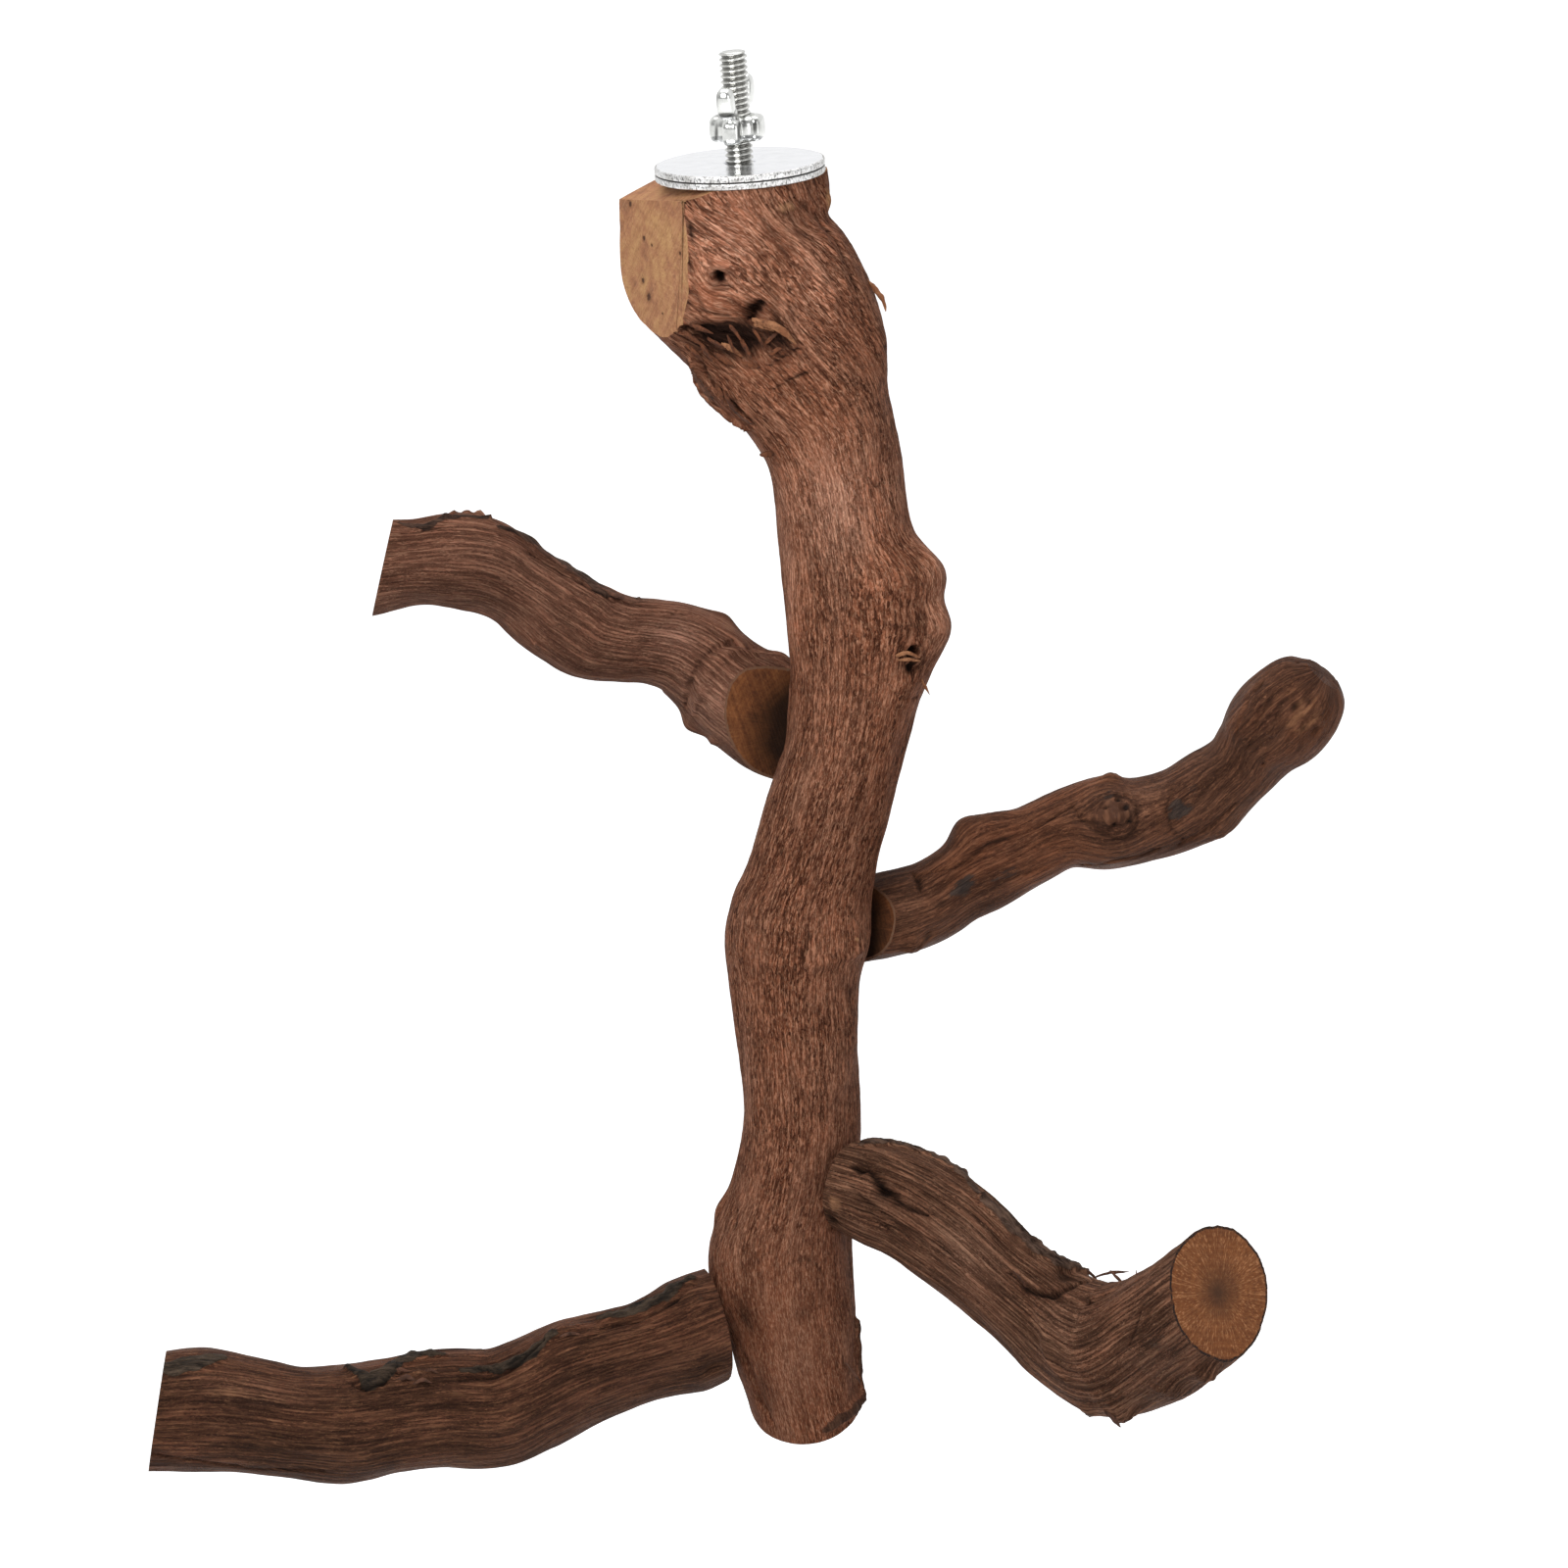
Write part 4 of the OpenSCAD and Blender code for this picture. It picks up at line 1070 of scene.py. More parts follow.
trunkTorn = [
    ([(767, 326, 1), (780, 330, 6), (794, 335, 8), (804, 343, 7), (812, 352, 4)], 4.4),
    ([(769, 331, 1), (778, 334, 5), (790, 338, 6)], 2.4),
    ([(886, 286, 0), (894, 296, 3), (901, 306, 4), (904, 318, 3)], 3.4),
    ([(736, 351, 2), (746, 356, 7), (757, 364, 5)], 3.4),
    ([(914, 669, 1), (926, 666, 6), (939, 671, 4)], 2.4),
    ([(915, 673, 1), (928, 673, 5), (939, 674, 3)], 1.9),
    ([(940, 692, 0), (944, 700, 3), (949, 709, 2)], 2.4),
]
trunkChips = [
    ([(703, 330, 2), (716, 336, 6), (728, 341, 5)], 2.6),
    ([(714, 349, 1), (721, 360, 6), (730, 371, 4)], 3.2),
    ([(768, 336, 1), (775, 346, 5), (780, 357, 3)], 2.2),
    ([(697, 338, 1), (706, 345, 5), (716, 352, 3)], 3.2),
    ([(722, 345, 2), (731, 351, 6), (741, 357, 4)], 3.0),
    ([(742, 342, 2), (746, 351, 6), (750, 361, 4)], 2.8),
    ([(729, 361, 1), (739, 367, 5), (750, 374, 3)], 3.4),
    ([(755, 345, 2), (761, 356, 6), (768, 368, 4)], 3.2),
    ([(757, 370, 1), (766, 373, 5), (777, 376, 3)], 2.8),
    ([(781, 351, 1), (788, 344, 5), (796, 337, 3)], 2.6),
    ([(784, 363, 1), (793, 357, 5), (802, 352, 3)], 2.4),
    ([(744, 332, 1), (751, 340, 5), (757, 350, 3)], 2.4),
    ([(700, 352, 1), (709, 360, 5), (718, 369, 3)], 3.0),
    ([(689, 359, 0), (699, 364, 4), (709, 372, 3)], 3.0),
    ([(708, 362, 1), (717, 357, 5), (727, 350, 3)], 2.2),
    ([(790, 463, 0), (782, 463, 3), (775, 465, 3)], 3.8),
    ([(738, 398, 1), (744, 410, 5), (752, 420, 3)], 3.4),
    ([(730, 392, 0), (736, 402, 3), (738, 414, 3)], 2.4),
]
trunkShreds = [
    ([(700, 366, 0), (708, 382, 5), (716, 396, 5), (726, 410, 3)], 2.4),
    ([(712, 384, 1), (722, 400, 5), (736, 416, 4)], 2.0),
    ([(744, 414, 1), (756, 425, 3), (768, 434, 1)], 1.8),
    ([(862, 1392, 0), (872, 1404, 3), (880, 1416, 1)], 1.8),
]
for name, splinters, seed, finish in (("trunk_torn_wood", trunkTorn, 4.0, "tornWood"),
                                      ("trunk_torn_chips", trunkChips, 6.0, "shadedTornChips"),
                                      ("trunk_bark_shreds", trunkShreds, 5.0, "barkShred")):
    makeSplinters(name, trunkLimb, splinters,
                  {**splinterValues, "Seed": seed, "Material": materials[finish]}, "trunk")

perchShapes = {
    "upper_left": {
        "anchor": [825, 743, 62],
        "tip": [[390, 576, 52], [400, 530, 52], [390, 576, 98]],
        "rows": [
            [990, 772, 60, 68], [935, 762, 62, 86], [880, 752, 64, 112], [829, 742, 65, 122],
            [790, 732, 64, 121], [752, 706, 60, 109], [722, 680, 60, 98], [696, 662, 61, 92],
            [668, 655, 63, 86], [635, 652, 66, 87], [600, 643, 66, 98], [562, 621, 60, 96],
            [528, 596, 54, 88], [494, 576, 50, 97], [458, 572, 50, 98], [424, 573, 51, 88],
            [390, 576, 52, 92], [352, 584, 52, 94],
        ],
        "bark": "perchBark",
        "slot": "perch_wood",
        "grain": (0.0001, 0.0013, 0.03, 0.0004, 0.012, 0.001, 5.0),
    },
    "right": {
        "anchor": [862, 943, 55],
        "tip": None,
        "rows": [
            [742, 966, 52, 80], [782, 959, 52, 84], [822, 951, 51, 86], [862, 944, 51, 88],
            [905, 934, 52, 88], [945, 922, 52, 84], [978, 902, 54, 80], [1008, 885, 56, 86],
            [1045, 868, 60, 80], [1085, 849, 62, 79], [1125, 841, 62, 97], [1165, 837, 60, 90],
            [1205, 825, 56, 88], [1241, 803, 49, 86], [1265, 784, 41, 78], [1281, 765, 35, 84],
            [1296, 746, 28, 98], [1313, 729, 22, 103], [1330, 711, 16, 95], [1344, 697, 12, 78],
            [1352, 688, 10, 44],
        ],
        "bark": "rightBark",
        "slot": "perch_wood",
        "grain": (0.0001, 0.002, 0.03, 0.0006, 0.012, 0.0014, 7.0),
    },
    "lower_right": {
        "anchor": [865, 1211, -39],
        "tip": [[1243, 1318, -302], [1237, 1253, -292], [1291, 1320, -261]],
        "rows": [
            [810, 1198, 4, 88], [838, 1203, -14, 92], [868, 1211, -32, 97], [902, 1222, -50, 108],
            [940, 1238, -70, 109], [980, 1266, -92, 110], [1020, 1302, -113, 101],
            [1058, 1333, -134, 106], [1096, 1362, -156, 120], [1136, 1378, -184, 136],
            [1172, 1368, -216, 134], [1206, 1346, -256, 131], [1243, 1318, -302, 131],
            [1284, 1286, -356, 131],
        ],
        "bark": "lowerRightBark",
        "slot": "perch_wood",
        "grain": (0.0002, 0.0015, 0.045, 0.0006, 0.012, 0.0014, 11.0),
    },
    "lower_left": {
        "anchor": [731, 1352, -15],
        "tip": [[159, 1443, -100], [168, 1382, -100], [159, 1443, -40]],
        "rows": [
            [805, 1330, 0, 108], [770, 1340, -7, 112], [735, 1352, -14, 116], [700, 1366, -22, 120],
            [660, 1380, -32, 104], [620, 1392, -39, 107], [580, 1405, -46, 113], [540, 1425, -53, 114],
            [500, 1440, -60, 119], [450, 1440, -68, 119], [400, 1446, -76, 117], [350, 1453, -82, 123],
            [300, 1452, -88, 117], [250, 1445, -92, 122], [205, 1441, -96, 129], [159, 1443, -100, 121],
            [110, 1446, -103, 118],
        ],
        "bark": "lowerLeftBark",
        "slot": "dark_wood",
        "grain": (0.00014, 0.0018, 0.03, 0.0006, 0.014, 0.0014, 13.0),
    },
}
perchMesh = {"rings": 330, "sides": 176}


# Peeled bark along the top, and the fold and bulb beside the trunk
def markUpperLeft(limb):
    limb.strip([(508, 538), (545, 556), (580, 580), (615, 603), (652, 612)], [4, 8, 9, 8, 2], 0.8,
               bark=1.2, seed=21, ragged=0.15)
    limb.strip([(405, 534), (432, 538), (452, 530), (470, 526), (496, 530)], [3, 5, 5, 6, 3], 0.5,
               bark=0.85, rough=0.5, seed=22)
    limb.line([(510, 546), (545, 566), (590, 594), (625, 613), (655, 617)], 1.8, -0.7, dark=0.8)
    limb.line([(410, 543), (430, 542), (455, 537)], 2.0, -0.5, dark=0.5)
    for spot in ((452, 528), (463, 524), (475, 522), (488, 524), (498, 530)):
        limb.spot(spot, 4, 5, 1.0, rough=1.4, bark=0.5)
    limb.line([(770, 664), (750, 655), (733, 659), (716, 676), (704, 698), (699, 722)], 4, -1.1, dark=0.3)
    limb.line([(772, 668), (752, 664), (738, 670), (724, 686), (713, 708), (708, 730)], 7, 0.8)
    limb.spot((744, 642), 10, 18, 0.4, pale=0.45, smooth=0.5)
    limb.spot((728, 756), 8, 7, 1.0, rough=1.2, bark=0.4)
    limb.spot((740, 630), 12, 16, 1.4)
    limb.spot((771, 662), 7, 8, -1.3)
    limb.spot((797, 672), 10, 14, 1.5)
    limb.spot((706, 737), 11, 14, 1.9)
    limb.spot((480, 622), 10, 18, 0.7)
    limb.spot((545, 655), 2, 6, 1.0, bark=0.4)
    limb.line([(636, 690), (660, 650), (690, 625)], 6, -0.5, shade=0.35)
    limb.spot((655, 690), 14, 16, -0.4, shade=0.4)
    limb.spot((470, 600), 22, 50, 0.0, shade=0.3)
    limb.spot((600, 660), 22, 60, 0.0, shade=0.25)
    limb.spot((690, 650), 24, 30, 0.0, lit=0.5)
    limb.spot((725, 715), 30, 30, 0.0, lit=0.4)
    limb.knot((560, 600), 8, 2.0, 1.0, side=-1)
    limb.line([(430, 560), (480, 566), (520, 590)], 2.5, -0.6, side=-1, dark=0.5)


# The hump, the scaly knot beyond it and the gnarled round end
def markRight(limb):
    limb.spot((1003, 848), 20, 26, 2.9, flat=1.3, rough=0.3, shade=0.2)
    limb.spot((984, 850), 15, 17, 2.2)
    limb.spot((1030, 836), 12, 16, 1.2)
    limb.spot((1140, 828), 22, 28, 0.4, flat=1.6, rough=1.8, dark=0.36)
    limb.spot((1128, 812), 16, 14, 0.0, bark=0.55)
    limb.line([(1093, 822), (1104, 838), (1122, 852), (1146, 858), (1160, 846), (1163, 826), (1150, 812)],
              4, -0.7, dark=0.5, rough=0.8)
    limb.spot((1144, 830), 11, 12, 0.6, rough=2.2, pale=0.35)
    for spot in ((1131, 824), (1139, 842), (1151, 824), (1154, 839), (1142, 816)):
        limb.spot(spot, 3, 4, -0.8, dark=0.9)
    limb.flow(limb.find((1140, 830)), 30)
    limb.spot((1135, 794), 9, 14, 1.2, rough=0.8)
    limb.spot((1140, 875), 14, 34, 0.8)
    limb.line([(1105, 882), (1135, 876), (1165, 872), (1185, 866)], 2.5, -0.5, dark=0.5)
    limb.spot((1206, 826), 14, 22, 0.2, bark=0.72)
    limb.spot((1216, 806), 8, 14, 0.0, bark=0.6)
    limb.spot((985, 905), 13, 22, -0.3, bark=0.72)
    limb.spot((1030, 890), 12, 30, 0.0, bark=0.5, shade=0.3)
    limb.line([(1196, 806), (1190, 826), (1196, 846), (1208, 858)], 2.6, -0.6, dark=0.5)
    limb.spot((925, 925), 16, 22, 0.0, lit=0.25)
    limb.spot((1165, 815), 20, 26, 0.0, lit=0.35, pale=0.2)
    limb.spot((1240, 790), 24, 30, 0.0, shade=0.3)
    limb.spot((1290, 750), 30, 40, 0.0, shade=0.35)
    limb.line([(932, 892), (938, 900), (940, 912)], 3, -0.8, dark=0.55)
    limb.line([(936, 893), (975, 886), (1010, 862), (1060, 845), (1095, 822)], 2.4, -0.6, dark=0.5)
    limb.line([(1000, 905), (1060, 888), (1110, 866)], 2.2, -0.4, dark=0.4)
    limb.spot((932, 962), 12, 18, 1.6, rough=1.0)
    limb.spot((945, 955), 6, 8, -0.8, dark=0.5, rough=1.0)
    limb.spot((960, 925), 5, 6, -0.4, dark=0.45)
    limb.spot((1248, 848), 12, 22, 1.6, rough=0.4)
    limb.line([(1205, 862), (1240, 842), (1262, 820)], 3, -0.6, dark=0.4)
    limb.line([(1262, 745), (1285, 700), (1325, 676)], 4, -0.7, dark=0.5)
    limb.line([(1275, 760), (1296, 712), (1335, 680)], 3.5, -0.7, dark=0.45)
    limb.line([(1290, 780), (1302, 730), (1320, 700)], 4, -0.6, dark=0.4)
    limb.spot((1334, 732), 24, 28, 0.7, flat=1.8, rough=1.6, pale=0.42, smooth=0.7)
    limb.spot((1322, 722), 5, 6, -0.8, dark=0.6, rough=1.2)
    limb.spot((1342, 744), 5, 5, -0.8, dark=0.6, rough=1.2)
    limb.spot((1330, 742), 4, 5, -0.6, dark=0.5, rough=1.2)
    limb.spot((1336, 716), 4, 4, -0.6, dark=0.5, rough=1.2)
    limb.spot((1300, 745), 9, 14, 0.8, rough=0.9)
    limb.knot((1130, 850), 8, 2.0, 0.8, side=-1)
    limb.line([(960, 910), (1020, 880), (1080, 850)], 2.5, -0.6, side=-1, dark=0.5)


# Peeled strips, cracks beside the trunk and in the bend, and knobs under the far end
def markLowerRight(limb):
    limb.strip([(880, 1170), (920, 1168), (965, 1188), (1000, 1222)], [5, 10, 9, 5], 1.0, bark=0.8,
               rough=0.6, seed=41)
    limb.strip([(1003, 1225), (1040, 1262), (1080, 1290), (1105, 1298)], [5, 11, 11, 5], 1.3, bark=0.75,
               rough=0.4, seed=42)
    limb.line([(868, 1190), (885, 1192), (900, 1212), (925, 1232), (945, 1240)], 5, -1.6, dark=0.75)
    limb.spot((900, 1216), 7, 12, -1.6, dark=0.95)
    limb.spot((878, 1194), 6, 7, -1.2, dark=0.8)
    limb.line([(868, 1212), (885, 1228), (915, 1250), (960, 1270), (985, 1300)], 3.2, -0.8, dark=0.45)
    limb.line([(875, 1225), (900, 1252), (940, 1268), (962, 1295)], 3.0, -0.7, dark=0.35)
    limb.line([(880, 1180), (925, 1188), (960, 1208), (1000, 1232)], 3.0, -0.7, dark=0.45)
    limb.spot((853, 1228), 10, 12, 1.0, pale=0.7, rough=0.8)
    limb.spot((850, 1246), 8, 8, -0.8, dark=0.75)
    limb.line([(1030, 1300), (1050, 1318), (1074, 1324), (1100, 1310), (1125, 1302)], 4, -1.4, dark=0.75)
    limb.spot((1088, 1302), 12, 12, -1.0, dark=0.6, rough=0.8)
    limb.line([(1078, 1328), (1110, 1330), (1140, 1312)], 4, -0.8, dark=0.45)
    limb.line([(1060, 1330), (1066, 1360), (1070, 1390), (1090, 1410)], 7, 0.9, pale=0.25)
    limb.spot((1130, 1420), 30, 26, 0.9, rough=1.2, shade=0.35)
    limb.spot((1146, 1440), 12, 14, 2.2, rough=1.8)
    limb.spot((1190, 1420), 26, 22, 1.0, rough=1.3, shade=0.35)
    limb.spot((1230, 1398), 12, 15, 2.6, rough=1.2, shade=0.3)
    limb.spot((1112, 1440), 9, 9, 1.4, rough=1.4, bark=0.6)
    limb.spot((985, 1285), 30, 40, 0.0, lit=0.35)
    limb.spot((1150, 1400), 24, 20, -0.4, dark=0.3, rough=0.7)
    limb.spot((1182, 1368), 20, 24, 0.2, bark=0.45, shade=0.4)
    limb.spot((1090, 1350), 26, 40, 0.0, lit=0.3)
    limb.line([(1165, 1335), (1158, 1352), (1152, 1370)], 2.5, -0.5, dark=0.6)
    limb.knot((1010, 1290), 8, 2.0, 0.8, side=-1)
    limb.line([(900, 1230), (960, 1270), (1010, 1320)], 2.5, -0.6, side=-1, dark=0.5)


# Ragged strips of bark along the top, and pale scaly places
def markLowerLeft(limb):
    limb.strip([(612, 1348), (640, 1342), (680, 1326), (705, 1308)], [4, 6, 7, 5], 1.2, bark=1.0, seed=51)
    limb.strip([(470, 1400), (510, 1398), (540, 1385), (565, 1366)], [4, 6, 7, 4], 1.0, bark=0.95,
               seed=52)
    limb.strip([(352, 1398), (375, 1412), (395, 1402), (420, 1386), (450, 1384)], [4, 9, 9, 7, 4], 1.0,
               bark=0.9, seed=53)
    limb.strip([(170, 1398), (195, 1392), (225, 1386)], [10, 12, 5], 0.7, bark=0.9, seed=54)
    limb.line([(358, 1414), (372, 1420), (392, 1412), (404, 1400)], 2.6, -0.9, dark=0.8)
    limb.line([(470, 1408), (505, 1406), (530, 1394), (556, 1372)], 2.6, -0.8, dark=0.75)
    limb.line([(612, 1356), (650, 1350), (690, 1330), (710, 1312)], 2.2, -0.7, dark=0.7)
    limb.line([(600, 1368), (630, 1352), (660, 1346)], 1.8, -0.4, dark=0.4)
    limb.spot((425, 1407), 9, 18, 0.9, rough=2.0, pale=0.35)
    limb.spot((572, 1360), 10, 22, 0.8, rough=1.8, pale=0.25)
    limb.spot((230, 1420), 18, 40, -0.3, pale=0.45)
    limb.spot((460, 1425), 12, 34, -0.3, pale=0.4)
    limb.line([(152, 1485), (200, 1492), (260, 1500), (330, 1502)], 2.4, -0.5, dark=0.5)
    limb.spot((560, 1400), 26, 50, 0.8)
    limb.spot((260, 1420), 16, 60, 0.0, lit=0.4)
    limb.spot((650, 1392), 30, 60, 0.0, shade=0.3)
    limb.spot((715, 1330), 12, 12, 0.8, bark=0.4)
    limb.spot((728, 1400), 9, 10, -1.2, rough=0.6)
    limb.spot((735, 1355), 6, 12, 0.7, pale=0.3)
    limb.knot((400, 1440), 8, 2.2, 0.9, side=-1)
    limb.line([(250, 1440), (320, 1450), (380, 1446)], 2.5, -0.6, side=-1, dark=0.5)


perchMarks = {"upper_left": markUpperLeft, "right": markRight, "lower_right": markLowerRight,
              "lower_left": markLowerLeft}


def makePerch(name):
    shape = perchShapes[name]
    joint = next(j for j in frame["joints"] if j["name"] == name + "_swing")
    seat, outward = np.array(joint["pos_m"]), unit(np.array(joint["axis"]))
    rows = shape["rows"]
    t = np.linspace(0, len(rows) - 1, perchMesh["rings"])
    row = smoothRows(rows, t)
    centres = seat + placeOf(row[:, :3]) - placeOf(shape["anchor"])
    runs = unit(np.gradient(centres, axis=0))
    crosswise = unit(np.cross(runs, [0, 0, 1]))
    lift = np.cross(crosswise, runs)
    angle = np.arange(perchMesh["sides"]) * 2 * math.pi / perchMesh["sides"]
    reach = pixel * row[:, 3:4] / 2 * (1 + waves(angle[None], t[:, None]))
    circle = np.cos(angle)[:, None] * crosswise[:, None] + np.sin(angle)[:, None] * lift[:, None]
    grid = centres[:, None] + reach[..., None] * circle
    limb = Limb(grid, centres)
    perchMarks[name](limb)
    pieceName = name + "_wood"
    piece = newPiece(pieceName, limb.mesh(pieceName, np.zeros(len(t))))
    growGrain(piece, shape["grain"], shape["bark"])
    # The seat face takes the darker sawn look: painted shade from the trunk
    cuts = [(seat, -outward, seat, materials["shadedSeatSawn"], True)]
    if shape["tip"]:
        tipPlace, tipOut = planeThrough(shape["tip"], centres[-1] - centres[0])
        shift = seat - placeOf(shape["anchor"])
        cuts.append((tipPlace + shift, tipOut, tipPlace + shift, materials["perchSawn"], True))
    sawOff(piece, cuts)
    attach(piece, name + "_perch")
    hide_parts(name + "_perch")
    print(name, "perch:", len(piece.data.polygons), "faces")
    return limb


perchLimbs = {name: makePerch(name) for name in perchShapes}

perchFibres = {
    "upper_left": [
        ([(600, 594, 0), (628, 607, 2), (648, 613, 2), (661, 613, 1)], 2.6),
        ([(540, 553, 1), (570, 574, 2), (600, 594, 1)], 2.0),
        ([(540, 652, 0), (546, 658, 2), (551, 664, 1)], 1.8),
    ],
    "lower_right": [
        ([(1133, 1297, 2), (1142, 1306, 7), (1151, 1318, 9), (1162, 1331, 7), (1168, 1341, 3)], 2.2),
        ([(1159, 1296, 2), (1161, 1308, 7), (1161, 1320, 8), (1166, 1340, 3)], 2.0),
        ([(1118, 1304, 2), (1134, 1299, 6), (1152, 1298, 4)], 1.8),
        ([(1100, 1293, 1), (1112, 1299, 5), (1120, 1308, 3)], 2.2),
        ([(1034, 1298, 1), (1044, 1308, 4), (1050, 1320, 2)], 1.8),
        ([(1125, 1436, 0), (1136, 1448, 2), (1144, 1456, 2)], 2.6),
    ],
    "lower_left": [
        ([(398, 1402, 1), (408, 1399, 4), (418, 1402, 2)], 2.4),
        ([(404, 1410, 1), (414, 1406, 4), (424, 1410, 2)], 2.6),
        ([(420, 1414, 1), (430, 1409, 4), (440, 1412, 2)], 2.2),
        ([(430, 1402, 1), (438, 1399, 3), (446, 1402, 2)], 2.0),
        ([(562, 1360, 1), (574, 1355, 4), (586, 1356, 2)], 2.4),
        ([(568, 1367, 1), (580, 1362, 4), (592, 1363, 2)], 2.0),
    ],
}
for name, fibres in perchFibres.items():
    makeSplinters(name + "_fibres", perchLimbs[name], fibres,
                  {**splinterValues, "Seed": 7.0, "Material": materials["barkShred"]}, name + "_perch")

# Hardware: heights are measured from between the two washers, the nut's blocks from its own foot
boltShape = {"radius": 0.003175, "pitch": 0.00127, "depth": 0.00068, "top": 0.0266, "foot": -0.0336,
             "chamfer": 0.0005, "around": 72, "samples": 20}   # samples to each turn of the thread
washerShape = {"outer": 0.01905, "hole": 0.003575, "thick": 0.0016, "edge": 0.00026, "around": 288,
               "ripples": 12, "rippleDepth": 0.00003}   # the sheared edge isn't quite round
nutShape = {
    "foot": 0.0062, "turn": -104.0, "bore": 0.00322, "boreSpan": (-0.002, 0.016), "boreSides": 96,
    "voxel": 0.00016, "softness": 0.6, "softening": 4, "blockSides": (24, 40),
    # name, centre, half sizes, squareness and tilt in degrees; each block off the axis has a twin
    "blocks": [
        ("barrel", (0, 0, 0.0032), (0.0049, 0.0049, 0.0032), 3.2, 0),
        ("lobe", (0, 0.0034, 0.0031), (0.0034, 0.0027, 0.0030), 3.6, 0),
        ("boss", (0.0044, 0, 0.0029), (0.0031, 0.0021, 0.0029), 3.8, 0),
        ("neck", (0.0050, 0, 0.0068), (0.0022, 0.0015, 0.0028), 2.6, 42),
        ("wing", (0.0092, 0, 0.0101), (0.0024, 0.0020, 0.0037), 2.8, 14),
    ],
    # painted shade in the corners of the casting, and painted dark reflection on its lobes: right, down, half
    # width, half height, strength
    "corners": [
        (742, 118, 11, 2.4, 1.5), (770, 130, 5, 9, 1.0), (759, 124, 2.4, 10, 0.9), (754, 135, 2, 14, 1.1),
        (731, 136, 2, 12, 1.0), (727, 146, 5, 3, 0.8), (776, 143, 4, 4, 0.6), (752, 100, 1.6, 14, 0.8),
        (764, 141, 7, 3, 0.6), (742, 149, 9, 2, 0.7), (732, 98, 1.4, 12, 0.6),
    ],
}


def makeThreadGroup():
    sockets = dict.fromkeys(("Radius", "Pitch", "Depth", "Foot", "Top", "Chamfer"), "Float")
    group, given = newGroup("threadedRod", {**sockets, "Rows": "Int", "Around": "Int"})
    nearly = 1e-4   # share of the length, or metres, that counts as the very end
    inputs = {"Size X": 1.0, "Size Y": 1.0, "Vertices X": given["Around"], "Vertices Y": given["Rows"]}
    sheet = addNode(group, "GeometryNodeMeshGrid", inputs)
    right, up, _ = separate(group, addNode(group, "GeometryNodeInputPosition").outputs[0])
    share, climb = right + 0.5, up + 0.5
    height = climb * (given["Top"] - given["Foot"]) + given["Foot"]
    phase = (height / given["Pitch"] - share).math("FRACT")
    groove = (phase * 2.0 - 1.0).math("ABSOLUTE").ramp(0.12, 0.86, 1.0, 0.0)
    toTop = given["Top"] - height
    bevelled = given["Radius"] - given["Chamfer"] + toTop
    inside = climb.math("GREATER_THAN", nearly) * climb.math("LESS_THAN", 1 - nearly)
    radius = (given["Radius"] - groove * given["Depth"]).math("MINIMUM", bevelled) * inside
    turn = share * (2 * math.pi)
    spot = combine(group, turn.math("COSINE") * radius, turn.math("SINE") * radius, height)
    # The groove's depth is kept as the groove attribute, which the plating darkens: painted shade in the
    # thread
    depth = groove * toTop.math("GREATER_THAN", nearly)
    wound = storeAndMove(group, sheet.outputs[0], "groove", depth, Position=spot)
    closed = addNode(group, "GeometryNodeMergeByDistance", {"Geometry": wound, "Distance": 1e-6})
    return endGroup(group, given, closed.outputs[0])


threadGroup = makeThreadGroup()


def makeBolt():
    shape = boltShape
    piece = newPiece("hanger_bolt_thread", bpy.data.meshes.new("hanger_bolt_thread"))
    rows = int((shape["top"] - shape["foot"]) / shape["pitch"] * shape["samples"])
    labels = ("Radius", "Pitch", "Depth", "Foot", "Top", "Chamfer", "Around")
    sizes = {label: shape[label.lower()] for label in labels}
    runGroup(piece, threadGroup, {**sizes, "Rows": rows, "Material": materials["boltPlate"]})
    closeMesh(piece.data)
    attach(piece, "trunk")
    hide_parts("hanger_bolt")
    print("bolt:", len(piece.data.polygons), "faces")


# Turns a profile of (radius, height) pairs round the Z axis
def latheMesh(name, profile, around, wobble=None):
    verts, faces = [], []
    count = len(profile)
    for k in range(around):
        turn = 2 * math.pi * k / around
        for i, (radius, height) in enumerate(profile):
            r = radius + (wobble(i, turn) if wobble else 0)
            verts.append((r * math.cos(turn), r * math.sin(turn), height))
            n = (k + 1) % around
            j = (i + 1) % count
            faces.append((k * count + i, n * count + i, n * count + j, k * count + j))
    mesh = bpy.data.meshes.new(name)
    mesh.from_pydata(verts, [], faces)
    return mesh


def makeWasher(name, foot, body, seed):
    shape = washerShape
    rng = np.random.default_rng(seed)
    phases = rng.uniform(0, 2 * math.pi, shape["ripples"])
    pitches = rng.integers(7, 90, shape["ripples"])

    def wobble(i, turn):
        if not 2 <= i <= 6:   # only the profile's points on the outer edge
            return 0
        return shape["rippleDepth"] * float(np.sin(pitches * turn + phases + i * 0.9).sum()) / 3

    outer, hole, thick, edge = shape["outer"], shape["hole"], shape["thick"], shape["edge"]
    profile = [(hole, foot), (outer - 2 * edge, foot), (outer - edge * 0.4, foot + edge * 0.5),
               (outer, foot + edge * 1.5), (outer, foot + thick * 0.5), (outer, foot + thick - edge * 1.5),
               (outer - edge * 0.4, foot + thick - edge * 0.5), (outer - 2 * edge, foot + thick),
               (hole + edge, foot + thick), (hole, foot + thick - edge)]
    mesh = latheMesh(name, profile, shape["around"], wobble)
    mesh.materials.append(materials["polishedPlate"])
    mesh.materials.append(materials["shearedPlate"])
    closeMesh(mesh)
    for face in mesh.polygons:
        away = math.hypot(face.center.x, face.center.y)
        face.material_index = int(away > outer - 2 * edge)
        face.use_smooth = abs(face.normal.z) < 0.98 or away < hole + edge
    piece = newPiece(name, mesh)
    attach(piece, body)
    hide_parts(body)


